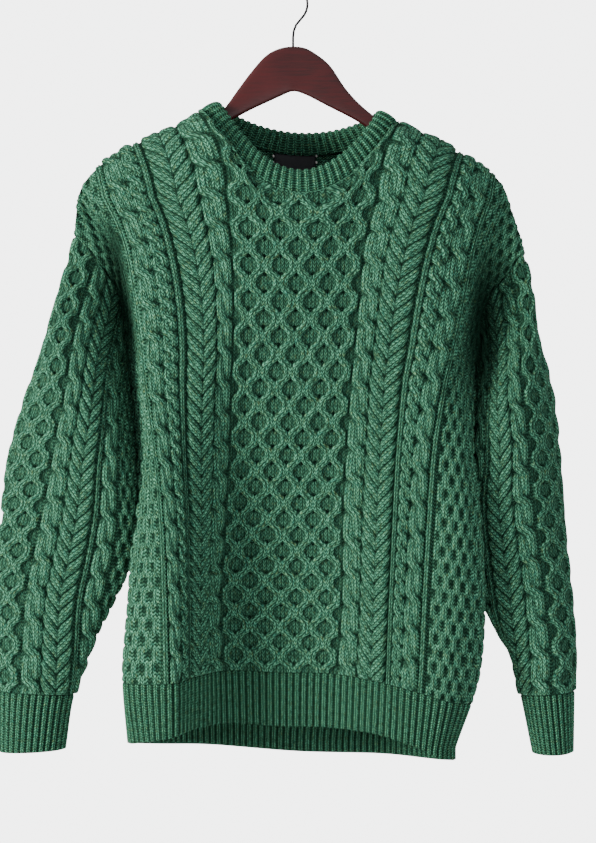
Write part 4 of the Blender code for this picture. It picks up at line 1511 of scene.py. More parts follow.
def corner_values(grid: Array, closed: bool) -> Array:
    """Give each quad of a grid the values at its four corners.

    Args:
        grid: Values by column and row.
        closed: Whether the last column joins the first.

    Returns:
        An array of faces by four corners.
    """
    following = np.roll(grid, -1, axis=0)
    here = grid
    if not closed:
        here, following = grid[:-1], following[:-1]
    a, b, c, d = here[:, :-1], following[:, :-1], following[:, 1:], here[:, 1:]
    return np.stack([part.ravel() for part in (a, b, c, d)], axis=1)


def seam_fan(fine: Array, coarse: Array, step: int, turn: bool) -> Array:
    """Join a fine edge to a coarse one with triangles.

    Args:
        fine: Points of the fine edge.
        coarse: Points of the coarse edge, one for each step of the fine one.
        step: How many fine spans lie in a coarse one.
        turn: Whether to turn the triangles over.

    Returns:
        The triangles.
    """
    half = (step + 1) // 2
    rows = []
    for number in range(len(coarse) - 1):
        near, far = coarse[number], coarse[number + 1]
        for place in range(step):
            start = number * step + place
            rows.append((fine[start], fine[start + 1], near if place < half else far))
        rows.append((fine[number * step + half], far, near))
    fan = np.array(rows)
    return fan[:, ::-1] if turn else fan


@dataclass
class Shell:
    """Knitted cloth as a closed wall: a fine face with relief and a plainer inner face."""

    name: str
    outer: Array
    inward: Array
    thickness: float
    closed: bool
    step: int = 5

    def rims(self, fine: Array, coarse: Array) -> list[Array]:
        """Close the wall's edges between the fine and the coarse grid.

        Args:
            fine: Numbers of the outer face's points.
            coarse: Numbers of the inner face's points.

        Returns:
            Triangles for each edge.
        """
        if self.closed:
            fine = np.concatenate((fine, fine[:1]))
            coarse = np.concatenate((coarse, coarse[:1]))
        edges = [seam_fan(fine[:, 0], coarse[:, 0], self.step, True),
                 seam_fan(fine[:, -1], coarse[:, -1], self.step, False)]
        if not self.closed:
            edges += [seam_fan(fine[0], coarse[0], self.step, False),
                      seam_fan(fine[-1], coarse[-1], self.step, True)]
        return edges

    def build(self, height: Array, purl: Array, loops: tuple[Array, ...]) -> bpy.types.Object:
        """Raise the relief and make the piece.

        Args:
            height: How far the outer face stands out, by column and row.
            purl: How purl the outer face is, by column and row.
            loops: Loops across and along the strand and the painted shade of its crease, by face
            of the outer grid and corner.

        Returns:
            The piece, a closed mesh.
        """
        columns, rows = self.outer.shape[:2]
        raised = self.outer - self.inward * height[:, :, None]
        inner = (self.outer + self.inward * self.thickness)[::self.step, ::self.step]
        points = np.concatenate((raised.reshape(-1, 3), inner.reshape(-1, 3)))
        fine = np.arange(columns * rows).reshape(columns, rows)
        coarse = columns * rows + np.arange(inner.shape[0] * inner.shape[1]).reshape(inner.shape[:2])
        faces = [corner_values(fine, self.closed), corner_values(coarse, self.closed)[:, ::-1],
                 *self.rims(fine, coarse)]
        inner_purl = np.ones(inner.shape[0] * inner.shape[1])
        count = sum(face.size for face in faces)
        # The inner face and the edges take the painted shade INNER_SHADOW.
        placed = np.full((count, 3), INNER_SHADOW)
        start = faces[0].size
        placed[:start] = np.stack([part.ravel() for part in loops], axis=1)
        for face in faces[1:]:
            corners = points[face.ravel()]
            placed[start:start + face.size, 0] = corners[:, 0] / WALE_WIDTH
            placed[start:start + face.size, 1] = corners[:, 2] / RIB_COURSE
            start += face.size
        ends = np.cumsum([face.size for face in faces])
        faces, parts = outwards(points, faces, np.split(placed, ends[:-1]))
        placed = np.concatenate(parts)
        mesh = mesh_from(self.name, points, faces)
        keep_loops(mesh, placed[:, :2])
        keep_numbers(mesh, "shadow", "CORNER", placed[:, 2])
        keep_numbers(mesh, "purl", "POINT", np.concatenate((purl.ravel(), inner_purl)))
        return link(self.name, mesh)


@dataclass
class ChartedPiece:
    """A piece knitted from a chart."""

    shell: Shell
    chart: Chart
    u: Array
    v: Array
    edge: Array
    # Painted shade in the folds by the armholes, 0 to 1, by column and row.
    pit: Array
    chart_seam: float = 100.0

    def build(self, material: bpy.types.Material) -> bpy.types.Object:
        """Knit the piece.

        Args:
            material: Its wool.

        Returns:
            The piece.
        """
        height, _, _, purl = self.chart.read(self.u, self.v)
        drift = (0.22 * np.sin(self.u / 17.0 + self.v / 43.0)
                 + 0.18 * np.sin(self.v / 21.0 - self.u / 31.0 + 1.3))
        height = (height + drift * 0.7) * self.edge
        corners_u = corner_values(self.u, self.shell.closed)
        corners_v = corner_values(self.v, self.shell.closed)
        if self.shell.closed:       # quads that straddle the line under the arm
            straddles = corners_u.max(axis=1) - corners_u.min(axis=1) > self.chart_seam
            corners_u = np.where(straddles[:, None], np.abs(corners_u), corners_u)
        middle_u, middle_v = corners_u.mean(axis=1), corners_v.mean(axis=1)
        _, bands, strand, _ = self.chart.read(middle_u, middle_v)
        spread = (np.repeat(part[:, None], 4, axis=1) for part in (bands, strand))
        across, along, shadow = self.chart.loops(*spread, corners_u, corners_v)
        # Joins the chart's painted shade with the painted shade in the folds by the armholes.
        lit = (1.0 - shadow) * (1.0 - corner_values(self.pit, self.shell.closed))
        loops = (across, along, 1.0 - lit)
        piece = self.shell.build(height, purl, loops)
        piece.data.materials.append(material)
        return piece


# ================================================================ node trees for what repeats
def new_tree(name: str, inputs: tuple[tuple[str, str, object], ...],
             ) -> tuple[Graph, bpy.types.Node, bpy.types.Node]:
    """Start a Geometry Nodes tree with named inputs.

    Args:
        name: The tree's name.
        inputs: Name, socket type and default value of each input after the geometry.

    Returns:
        The graph, its group input and its group output.
    """
    tree = bpy.data.node_groups.new(name, "GeometryNodeTree")
    tree.interface.new_socket("Geometry", in_out="INPUT", socket_type="NodeSocketGeometry")
    for label, kind, value in inputs:
        socket = tree.interface.new_socket(label, in_out="INPUT", socket_type=kind)
        if value is not None:
            socket.default_value = value
    tree.interface.new_socket("Geometry", in_out="OUTPUT", socket_type="NodeSocketGeometry")
    graph = Graph(tree)
    return graph, graph.add("NodeGroupInput"), graph.add("NodeGroupOutput")


def finish_tree(graph: Graph, geometry: Socket, start: bpy.types.Node,
                end: bpy.types.Node) -> None:
    """End a tree in Realize Instances and Set Material.

    Args:
        graph: The tree's graph.
        geometry: What it has made.
        start: Its group input.
        end: Its group output.
    """
    real = graph.out("GeometryNodeRealizeInstances", {0: geometry})
    dressed = graph.out("GeometryNodeSetMaterial", {
        "Geometry": real, "Material": start.outputs["Material"]})
    graph.tree.links.new(dressed, end.inputs[0])


def run_tree(source: bpy.types.Object, tree: bpy.types.NodeTree, name: str,
             **values: object) -> bpy.types.Object:
    """Run a tree on an object and keep the result as a plain mesh.

    Args:
        source: The object that carries the geometry in. It is removed.
        tree: The Geometry Nodes tree.
        name: The new object's name.
        **values: Input values by the input's name.

    Returns:
        The new object, at the origin.
    """
    modifier = source.modifiers.new(tree.name, "NODES")
    modifier.node_group = tree
    sockets = {item.name: item.identifier for item in tree.interface.items_tree
               if item.in_out == "INPUT"}
    for label, value in values.items():
        modifier[sockets[label]] = value
    mesh = baked(source)
    mesh.name = name
    return link(name, mesh)


def rib_tree() -> bpy.types.NodeTree:
    """Build the tree that raises one-by-one ribs along a piece's own wales.

    Returns:
        The tree, which reads the across, fade and outward values of the mesh.
    """
    graph, start, end = new_tree("one_by_one_rib", (
        ("Pitch", "NodeSocketFloat", 7.4), ("Height", "NodeSocketFloat", 0.0018),
        ("Share", "NodeSocketFloat", 0.75), ("Gutter", "NodeSocketFloat", 0.8),
        ("Shade", "NodeSocketFloat", 0.0),
        ("Material", "NodeSocketMaterial", None)))

    across, fade = (graph.out("GeometryNodeInputNamedAttribute:FLOAT", label)
                    for label in ("across", "fade"))
    outward = graph.out("GeometryNodeInputNamedAttribute:FLOAT_VECTOR", "outward")
    place = graph.out("ShaderNodeMath:DIVIDE", across, start.outputs["Pitch"])
    off = graph.out("ShaderNodeMath:SUBTRACT", graph.out("ShaderNodeMath:FRACT", place), 0.5)
    off = graph.out("ShaderNodeMath:MULTIPLY", graph.out("ShaderNodeMath:ABSOLUTE", off), 2.0)
    off = graph.out("ShaderNodeMath:DIVIDE", off, start.outputs["Share"])
    off = graph.out("ShaderNodeMath:MINIMUM", off, 1.0)
    crown = graph.out("ShaderNodeMath:SUBTRACT", 1.0, graph.out("ShaderNodeMath:POWER", off, 2.8))
    rise = graph.out("ShaderNodeMath:SUBTRACT", crown, 0.45)
    rise = graph.out("ShaderNodeMath:MULTIPLY", rise, start.outputs["Height"])
    rise = graph.out("ShaderNodeMath:MULTIPLY", rise, fade)
    offset = graph.out("ShaderNodeVectorMath:SCALE", {0: outward, "Scale": rise})
    moved = graph.out("GeometryNodeSetPosition", {
        "Geometry": start.outputs[0], "Offset": offset})
    # Painted shade in the gutters between ribs, and Shade, an even painted shade over the whole rib.
    dark = graph.out("ShaderNodeMapRange", crown, 0.0, 0.7, 1.0, 0.0)
    dark = graph.out("ShaderNodeMath:MULTIPLY", dark, start.outputs["Gutter"])
    dark = graph.out("ShaderNodeMath:MAXIMUM", start.outputs["Shade"], dark)
    purl = graph.out("ShaderNodeMapRange", crown, 0.1, 0.2, 1.0, 0.0)
    for label, value in (("shadow", dark), ("purl", purl)):
        moved = graph.out("GeometryNodeStoreNamedAttribute:FLOAT", {
            "Geometry": moved, "Name": label, "Value": value}, domain="POINT")
    finish_tree(graph, moved, start, end)
    return graph.tree


def stitch_tree() -> bpy.types.NodeTree:
    """Build the tree that sets a row of small slanted stitches along an edge.

    Returns:
        The tree. Its geometry is a line of edges.
    """
    graph, start, end = new_tree("row_of_stitches", (
        ("Spacing", "NodeSocketFloat", 0.0045), ("Length", "NodeSocketFloat", 0.0045),
        ("Thickness", "NodeSocketFloat", 0.0012), ("Slant", "NodeSocketFloat", 0.5),
        ("Seed", "NodeSocketInt", 7), ("Material", "NodeSocketMaterial", None)))
    curve = graph.out("GeometryNodeMeshToCurve", {0: start.outputs[0]})
    points = graph.add("GeometryNodeCurveToPoints", {
        "Curve": curve, "Length": start.outputs["Spacing"]}, mode="LENGTH")
    bead = graph.add("GeometryNodeMeshUVSphere", {"Segments": 8, "Rings": 6, "Radius": 0.5})
    least, most = (graph.out("ShaderNodeMath:ADD", start.outputs["Slant"], spread)
                   for spread in (-0.12, 0.12))
    slant = graph.out("FunctionNodeRandomValue:FLOAT", {
        2: least, 3: most, "Seed": start.outputs["Seed"]})
    aside = graph.out("ShaderNodeCombineXYZ", 0.0, slant, 0.0)
    turned = graph.out("FunctionNodeRotateRotation", {
        0: points.outputs["Rotation"],
        1: graph.out("FunctionNodeEulerToRotation", aside)}, rotation_space="LOCAL")
    thick = start.outputs["Thickness"]
    size = graph.out("ShaderNodeCombineXYZ", thick, thick, start.outputs["Length"])
    beads = graph.out("GeometryNodeInstanceOnPoints", {
        "Points": points.outputs["Points"], "Instance": bead.outputs[0], "Rotation": turned,
        "Scale": size})
    finish_tree(graph, beads, start, end)
    return graph.tree


# ================================================================ ribbed pieces
@dataclass
class RibbedPiece:
    """Double-faced one-by-one rib: a closed section swept across the cloth or round a tube."""

    name: str
    section: Array
    outward: Array
    across: Array
    fade: Array
    along: Array
    closed: bool
    pitch: float
    height: float = 1.9
    share: float = 0.76
    # Painted shade in the rib's gutters, and over the whole rib.
    gutter: float = 0.95
    shade: float = 0.0

    def build(self, tree: bpy.types.NodeTree, material: bpy.types.Material) -> bpy.types.Object:
        """Raise the ribs with the rib tree.

        Args:
            tree: The tree that raises ribs.
            material: The rib's wool.

        Returns:
            The piece, a closed mesh.
        """
        columns, count = self.section.shape[:2]
        span = columns if self.closed else columns - 1
        index = np.arange(columns * count).reshape(columns, count)
        here = index[:span]
        following = np.roll(index, -1, axis=0)[:span]
        quads = np.stack([part.ravel() for part in (
            here, following, np.roll(following, -1, axis=1), np.roll(here, -1, axis=1))], axis=1)
        turns = np.arange(span)[:, None] + np.array((0, 1))[None, :]
        across = np.concatenate((self.across, self.across[:1] + self.across_total()))
        place = across[turns] / self.pitch
        number = np.floor(place.mean(axis=1, keepdims=True)) + 0.5
        place = number + np.clip((place - number) / self.share, -0.5, 0.5)
        uv = np.zeros((span, count, 4, 2))
        uv[..., 0, 0] = uv[..., 3, 0] = place[:, 0]
        uv[..., 1, 0] = uv[..., 2, 0] = place[:, 1]
        rows = self.along / RIB_COURSE
        uv[..., 0, 1] = uv[..., 1, 1] = rows[:span]
        uv[..., 2, 1] = uv[..., 3, 1] = np.roll(rows, -1, axis=1)[:span]
        faces, placed = [quads], [uv.reshape(-1, 2)]
        if not self.closed:
            for column, turn in ((0, False), (columns - 1, True)):
                ring = index[column]
                half = count // 2
                low, high = ring[:half], ring[::-1][:half]
                cap = np.stack((low[:-1], low[1:], high[1:], high[:-1]), axis=1)
                faces.append(cap[:, ::-1] if turn else cap)
                placed.append(np.zeros((cap.size, 2)))
        points = self.section.reshape(-1, 3)
        faces, placed = outwards(points, faces, placed)
        mesh = mesh_from(self.name + "_base", points, faces)
        keep_loops(mesh, np.concatenate(placed))
        keep_numbers(mesh, "across", "POINT", self.across.ravel())
        keep_numbers(mesh, "fade", "POINT", self.fade.ravel())
        keep_numbers(mesh, "outward", "POINT", self.outward.reshape(-1, 3))
        base = link(self.name + "_base", mesh)
        piece = run_tree(base, tree, self.name, Pitch=self.pitch, Height=self.height * MM,
                         Share=self.share, Gutter=self.gutter, Shade=self.shade,
                         Material=material)
        for label in ("across", "fade", "outward"):
            piece.data.attributes.remove(piece.data.attributes[label])
        return piece

    def across_total(self) -> float:
        """Measure once round a closed piece, in whole ribs."""
        step = self.across[1, 0] - self.across[0, 0]
        return step * len(self.across) if self.closed else 0.0


def double_face(outer: Array, inward: Array, thickness: float, pitch: float, across: Array,
                seam: float = 1.8) -> dict[str, Array]:
    """Fold an outer grid and its inner face into one closed section per column.

    Args:
        outer: The outer points, from the seam down to the free edge.
        inward: Unit directions into the cloth.
        thickness: The wall.
        pitch: Width of one rib and its gutter.
        across: Place across for each column.
        seam: How far from the seam the ribs take to rise.

    Returns:
        Section, outward, across, fade and along for a RibbedPiece.
    """
    length = running_length(outer, axis=1)
    down = outer[:, -1] - outer[:, -2]
    down /= np.linalg.norm(down, axis=1, keepdims=True)
    tip = (outer[:, -1] + inward[:, -1] * thickness / 2.0 + down * 1.3)[:, None]
    inner = outer + inward * thickness
    fade = smooth(length, 0.0, seam)
    zero = np.zeros((len(outer), 1))
    wide = np.repeat(across[:, None], outer.shape[1], axis=1)
    return {
        "section": np.concatenate((outer, tip, tip, inner[:, ::-1]), axis=1),
        "outward": np.concatenate((-inward, np.zeros_like(tip), np.zeros_like(tip),
                                   inward[:, ::-1]), axis=1),
        "across": np.concatenate((wide, wide[:, :1], wide[:, :1], wide + pitch / 2.0), axis=1),
        "fade": np.concatenate((fade, zero, zero, fade[:, ::-1]), axis=1),
        "along": np.concatenate((length, length[:, -1:] + 1.0, length[:, -1:] + 1.0,
                                 length[:, ::-1]), axis=1),
    }


# ================================================================ the garment
@dataclass
class Dressing:
    """What every piece needs to be finished: its body, its node and its slot."""

    def place(self, piece: bpy.types.Object, node: str, slot: str) -> bpy.types.Object:
        """Let a piece ride the part, stand for its CAD node and take its slot.

        Args:
            piece: The finished piece.
            node: The CAD node it stands for, or an empty word.
            slot: The record's material slot.

        Returns:
            The piece.
        """
        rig.ride(piece, "root")
        if node:
            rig.replaces(piece, node)
        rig.slot(piece, slot)
        LOG.info("%s: %d triangles", piece.name, sum(
            len(face.vertices) - 2 for face in piece.data.polygons))
        return piece


# How finely each face is knitted: columns over the chart, rows to the underarm, rows below it.
KNIT_GRID = {Face.FRONT: (240, 122, 158), Face.BACK: (220, 110, 144)}
PANEL_SPAN = (0.0005, 1.9995)       # where a panel starts and ends down its wales
HEM_SPAN = (2.0015, 3.0)


@dataclass
class Body(Dressing):
    """Front and back with their hem ribs."""

    form: Form
    wool: bpy.types.Material
    rib_wool: bpy.types.Material
    tree: bpy.types.NodeTree
    wall: float = 4.0
    seam_gap: float = -0.3
    rib_pitch: float = 7.3
    charted: float = 168.0
    moss_columns: int = 35

    def build(self) -> None:
        """Build both panels and both ribs."""
        for face in Face:
            panel = self.panel(face)
            rib = self.hem_rib(face)
            self.place(rib, "hem_rib_" + face.value, "rib_wool")
            self.place(panel, face.value, "body_wool")
            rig.sheet(panel, **self.cut(face, PANEL_SPAN, below=0.25), held="hung",
                     rests_on=["hanger_bar"], with_pieces=[])
            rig.sheet(rib, **self.cut(face, HEM_SPAN), held="hung", rests_on=[face.value])

    def cut(self, face: Face, span: tuple[float, float], below: float = 0.0) -> dict[str, object]:
        """Measure what a stretch of one face was cut to.

        Args:
            face: The front or the back.
            span: Where the stretch starts and ends down the wales.
            below: The share of the stretch along the neckline and the shoulders.

        Returns:
            The flat size and area, as a sheet states them.
        """
        across = np.linspace(-self.form.half_front, self.form.half_front, 301)
        outer, _ = self.form.panel(face, across, np.linspace(*span, 121))
        return cut_size(face.value, outer, below)

    def eased(self, u: Array, length: Array) -> Array:
        """Keep the pattern's columns evenly spaced where the wales fan out to the neckline.

        Args:
            u: Places across the cloth.
            length: How far below the top edge they lie.

        Returns:
            Places across the chart.
        """
        half = self.form.neck_half
        share = np.clip(np.abs(u) / half, 0.0, 1.0)
        spread = through((0.0, 0.125, 0.354, 0.65, 1.0), (0.0, 0.25, 0.5, 0.75, 1.0), share)
        weight = (1.0 - np.clip(length / self.form.ease, 0.0, 1.0)) ** 2
        return u + np.sign(u) * half * (spread - share) * weight

    def panel(self, face: Face) -> bpy.types.Object:
        """Knit the front or the back.

        Args:
            face: Which one.

        Returns:
            The piece.
        """
        columns, upper, lower = KNIT_GRID[face]
        middle = np.linspace(-self.charted, self.charted, columns + 1)
        edge = self.form.half_front - self.seam_gap / 2.0
        side = np.linspace(self.charted, edge, self.moss_columns + 1)[1:]
        across = np.concatenate((-side[::-1], middle, side))
        places = np.concatenate((np.linspace(PANEL_SPAN[0], 1.0, upper + 1),
                                 np.linspace(1.0, PANEL_SPAN[1], lower + 1)[1:]))
        outer, inward = self.form.panel(face, across, places)
        length = running_length(outer, axis=1)
        v = length[:, -1:] - length
        u = self.eased(np.repeat(across[:, None], len(places), axis=1), length)
        u = u * face.sense
        edge = (smooth(across[-1] - np.abs(u), 0.0, 3.0) * smooth(v, -0.5, 1.6)
                * smooth(length, 0.0, 3.0))
        shell = Shell(face.value, outer, inward, self.wall, closed=False)
        # Painted shade on the moss in the folds by the armholes.
        pit = self.form.pit_shade(outer) * smooth(np.abs(u), 164.0, 170.0)
        return ChartedPiece(shell, body_chart(), u, v, edge, pit).build(self.wool)

    def hem_rib(self, face: Face) -> bpy.types.Object:
        """Knit a hem rib.

        Args:
            face: The front or the back.

        Returns:
            The piece.
        """
        edge = self.form.half_front - self.seam_gap / 2.0
        across = np.linspace(-edge, edge, 521)
        outer, inward = self.form.panel(face, across, np.linspace(*HEM_SPAN, 23))
        round_hem = running_length(outer, axis=0).mean(axis=1)
        ribs = round(round_hem[-1] / self.rib_pitch)
        pitch = round_hem[-1] / ribs
        faces = double_face(outer, inward, self.wall, pitch, round_hem)
        # The hem rib gets a little painted shade all over.
        return RibbedPiece("hem_rib_" + face.value, closed=False, pitch=pitch, shade=0.12,
                           **faces).build(self.tree, self.rib_wool)


@dataclass
class Sleeve(Dressing):
    """One drop-shoulder sleeve and its cuff."""

    form: Form
    side: Side
    rows: tuple
    wool: bpy.types.Material
    rib_wool: bpy.types.Material
    tree: bpy.types.NodeTree
    wall: float = 4.0
    around: int = 220
    down: int = 330
    cuff_ribs: int = 27
    cuff_pitch: float = 7.2
    sleeve_end: float = 9.996
    cuff_span: tuple[float, float] = (10.003, 11.0)

    @property
    def label(self) -> str:
        """Name the side."""
        return self.side.name.lower()

    def build(self) -> None:
        """Build the sleeve and its cuff."""
        sleeve = self.sleeve()
        cuff = self.cuff()
        self.place(cuff, "cuff_" + self.label, "rib_wool")
        self.place(sleeve, "sleeve_" + self.label, "sleeve_wool")
        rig.sheet(sleeve, **self.cut((0.0, self.sleeve_end)), held="hung", rests_on=["front"])
        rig.sheet(cuff, **self.cut(self.cuff_span), held="hung",
                 rests_on=["sleeve_" + self.label])

    def cut(self, span: tuple[float, float]) -> dict[str, object]:
        """Measure what a stretch of the sleeve was cut to, all round.

        Args:
            span: The rows where the stretch starts and ends.

        Returns:
            The flat size and area, as a sheet states them.
        """
        outer, _ = self.form.tube(self.rings(216), np.linspace(*span, 101))
        return cut_size(self.label + " sleeve", np.concatenate((outer, outer[:1])))

    def rings(self, count: int) -> Array:
        """Lay the sleeve's rings with a given number of points round each.

        Args:
            count: Points round a ring, an even number.

        Returns:
            The rings.
        """
        side = self.side.value
        edge = side * (self.form.half_front - 0.2)
        places = np.linspace(0.0, 1.0, count // 2 + 1)
        front, back = (self.form.wale(edge, face, places) for face in Face)
        loop = np.concatenate((front, back[1:-1][::-1]))
        return self.form.sleeve_rings(loop - np.array((side * 1.2, 0.0, 0.2)), self.rows)

    def sleeve(self) -> bpy.types.Object:
        """Knit the sleeve.

        Returns:
            The piece.
        """
        rings = self.rings(self.around)
        sample = np.linspace(0.0, self.sleeve_end, 501)
        middle, _ = self.form.tube(rings, sample)
        length = running_length(middle, axis=1).mean(axis=0)
        places = np.interp(np.linspace(0.0, length[-1], self.down + 1), length, sample)
        outer, inward = self.form.tube(rings, places)
        length = running_length(outer, axis=1)
        v = length[:, -1:] - length
        closed = np.concatenate((outer, outer[:1]))
        round_length = running_length(closed, axis=0)
        total = round_length[-1]
        u = round_length[:-1]
        u = np.where(u > total / 2.0, u - total, u)
        edge = smooth(length, 0.0, 3.0) * smooth(v, -0.5, 1.6)
        shell = Shell("sleeve_" + self.label, outer, inward, self.wall, closed=True)
        chart = sleeve_chart(-float(self.side.value))
        # Painted shade on the sleeve in the fold beside the body.
        pit = self.form.pit_shade(outer)
        return ChartedPiece(shell, chart, u, v, edge, pit).build(self.wool)

    def cuff(self) -> bpy.types.Object:
        """Knit the cuff.

        Returns:
            The piece.
        """
        count = self.cuff_ribs * 8
        outer, inward = self.form.tube(self.rings(count), np.linspace(*self.cuff_span, 23))
        pitch = self.cuff_pitch
        across = np.arange(count) / count * self.cuff_ribs * pitch
        faces = double_face(outer, inward, self.wall, pitch, across)
        return RibbedPiece("cuff_" + self.label, closed=True, pitch=pitch, **faces).build(
            self.tree, self.rib_wool)


@dataclass
class Neck(Dressing):
    """The folded rib neckband, its linking stitches and the bare label inside the back."""

    form: Form
    rib_wool: bpy.types.Material
    tape: bpy.types.Material
    yarn: bpy.types.Material
    thread: bpy.types.Material
    tree: bpy.types.NodeTree
    stitches: bpy.types.NodeTree
    thickness: float = 7.0
    ribs: int = 62
    rib_pitch: float = 8.8
    section_points: int = 26
    label_width: float = 46.0
    label_centre: float = 8.0
    label_height: float = 52.0
    label_raised: float = 5.2
    back_wale: float = 262.0        # from the top of the back down to the underarm

    def build(self) -> None:
        """Build the band, the stitches and the label."""
        band = self.band()
        linking = self.linking()
        label = self.label()
        tacks = self.tacks()
        self.place(band, "neckband", "rib_wool")
        self.place(linking, "", "rib_wool")
        self.place(label, "neck_label", "label_weave")
        self.place(tacks, "", "label_weave")
        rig.sheet(band, **self.cut(), held="hung", rests_on=["front"], with_pieces=[linking])
        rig.sheet(label, flat=(self.label_width / 1e3, self.label_height / 1e3), held="hung",
                 rests_on=["back"], with_pieces=[tacks])

    def edges(self, angle: float) -> tuple[Array, Array]:
        """Place the band's base and crest at an angle round the neck."""
        return tuple(self.form.neck_point(edge, angle) for edge in (self.form.base, self.form.crest))

    def cut(self) -> dict[str, object]:
        """Measure what the band was cut to, all round and folded in two."""
        face = np.array([self.edges(turn) for turn in np.linspace(0.0, 360.0, 361)])
        return cut_size("neckband", face, layers=2)

    def angles(self, count: int) -> Array:
        """Space places evenly round the neck by length.

        Args:
            count: How many.

        Returns:
            Angles for Form.neck_point.
        """
        turn = np.linspace(-180.0, 180.0, 1441)
        line = np.array([sum(self.edges(angle)) / 2.0 for angle in turn])
        length = running_length(line)
        return np.interp(np.arange(count) / count * length[-1], length, turn)

    def band(self) -> bpy.types.Object:
        """Knit the neckband.

        Returns:
            The piece.
        """
        half = self.thickness / 2.0
        profile = through(
            (0.0, 0.5, 0.86, 1.12, 1.38, 1.74, 2.24),
            ((0.0, half), (0.5, half + 1.0), (0.86, half * 0.85), (1.0, 0.0),
             (0.86, -half * 0.85), (0.5, -half - 0.5), (-0.1, -half)),
            np.linspace(0.0, 2.24, self.section_points))
        count = self.ribs * 8
        sections, ways = [], []
        for angle in self.angles(count):
            base, crest = self.edges(angle)
            height = np.linalg.norm(crest - base)
            up = (crest - base) / height
            around = (self.form.neck_point(self.form.base, angle + 1.0)
                      - self.form.neck_point(self.form.base, angle - 1.0))
            out = np.cross(around, up)
            out /= np.linalg.norm(out)
            flat = base - np.array((self.form.neck_centre, 0.0, base[2]))
            out = -out if out @ flat < 0.0 else out
            section = base + up * height * profile[:, :1] + out * (profile[:, 1:] - half)
            tangent = np.gradient(section, axis=0)
            normal = np.cross(np.cross(up, out), tangent)
            normal /= np.linalg.norm(normal, axis=1, keepdims=True)
            outside = normal[0] @ out > 0.0
            sections.append(section)
            ways.append(normal if outside else -normal)
        section, outward = np.array(sections), np.array(ways)
        pitch = self.rib_pitch
        across = np.repeat((np.arange(count) / count * self.ribs * pitch)[:, None],
                           self.section_points, axis=1)
        along = running_length(section, axis=1)
        fade = smooth(along, 0.0, 3.0) * smooth(along[:, -1:] - along, 0.0, 3.0)
        crest = along[:, -1:] / 2.0
        fade = fade * (0.45 + 0.55 * smooth(np.abs(along - crest) / crest, 0.0, 0.35))
        return RibbedPiece("neckband", section, outward, across, fade, along, closed=True,
                           pitch=pitch, height=2.8, share=0.72, gutter=0.6).build(
            self.tree, self.rib_wool)

    def linking(self) -> bpy.types.Object:
        """Sew the band on with a row of linking stitches.

        Returns:
            The stitches, one mesh.
        """
        points = []
        for angle in self.angles(360):
            base, crest = self.edges(angle)
            middle = np.array((self.form.neck_centre, 0.0, base[2]))
            out = (base - middle) / np.linalg.norm(base - middle)
            points.append(base + (base - crest) * 0.03 + out * 0.6)
        mesh = bpy.data.meshes.new("neck_line")
        edges = [(place, (place + 1) % len(points)) for place in range(len(points))]
        mesh.from_pydata([tuple(point * MM) for point in points], edges, [])
        return run_tree(link("neck_line", mesh), self.stitches, "neck_linking",
                        Spacing=0.0044, Length=0.0050, Thickness=0.0017, Slant=0.55, Seed=3,
                        Material=self.yarn)

    def label(self) -> bpy.types.Object:
        """Hang the bare woven label just inside the back.

        Returns:
            The piece.
        """
        across = np.linspace(-self.label_width, self.label_width, 61)
        places = np.linspace(2.0, 2.0 + self.label_height, 21) / self.back_wale
        outer, inward = self.form.panel(Face.BACK, across, places)
        wanted = self.label_centre + np.linspace(-0.5, 0.5, 19) * self.label_width
        share = np.linspace(0.0, 1.0, len(places))
        fold = 0.9 * smooth(share * self.label_height, 6.0, 4.5)
        lift = 6.0 + 0.8 * share**2 + 0.5 * np.sin(share * 7.0) + fold
        layer = outer + inward * lift[None, :, None]
        grid = np.array([np.stack((wanted, np.interp(wanted, row[:, 0], row[:, 1]),
                                   np.interp(wanted, row[:, 0], row[:, 2])), axis=1)
                         for row in layer.transpose(1, 0, 2)]).transpose(1, 0, 2)
        grid[..., 2] += self.label_raised
        along = np.gradient(grid, axis=0)
        down = np.gradient(grid, axis=1)
        facing = np.cross(along, down)
        facing /= np.linalg.norm(facing, axis=2, keepdims=True)
        facing *= 1.0 if facing[0, 0, 1] < 0.0 else -1.0
        shell = Shell("neck_label", grid, facing, 0.8, closed=False, step=1)
        flat = np.zeros(grid.shape[:2])
        count = (grid.shape[0] - 1) * (grid.shape[1] - 1)
        piece = shell.build(flat, flat, (np.zeros((count, 4)),) * 3)
        piece.data.materials.append(self.tape)
        return piece

    def tacks(self) -> bpy.types.Object:
        """Tack the label at its upper corners with white thread.

        Returns:
            The stitches, one mesh.
        """
        points, edges = [], []
        back = self.form.neck_point(self.form.base, 180.0)
        for side in (-1.0, 1.0):
            start = len(points)
            across = self.label_centre + side * (self.label_width / 2.0 + 0.6)
            points += [(across, back[1] - self.thickness, back[2] - down)
                       for down in (4.5, 8.0, 11.5)]
            edges += [(start, start + 1), (start + 1, start + 2)]
        mesh = bpy.data.meshes.new("tack_line")
        mesh.from_pydata([tuple(value * MM for value in point) for point in points], edges, [])
        return run_tree(link("tack_line", mesh), self.stitches, "label_tacks",
                        Spacing=0.0036, Length=0.003, Thickness=0.0021, Slant=0.2, Seed=5,
                        Material=self.thread)


# ================================================================ the hanger
# x, top, underside
HANGER_BAR = (
    (-202, -214, -221), (-192, -206, -218), (-152, -180, -199), (-116, -164, -185),
    (-92, -154, -172), (-78, -144, -160), (-66, -131, -149), (-54, -114, -142.4),
    (-40, -95, -135), (-22, -75, -126.5), (-8, -68, -120), (6, -66, -114.5), (20, -68, -118.5),
    (32, -75, -124.6), (46, -87, -132), (62, -111, -140), (78, -129, -149), (92, -141, -159),
    (106, -152, -170), (134, -170, -189), (166, -185, -204), (190, -199, -216),
    (206, -211, -224), (214, -220, -226),
)


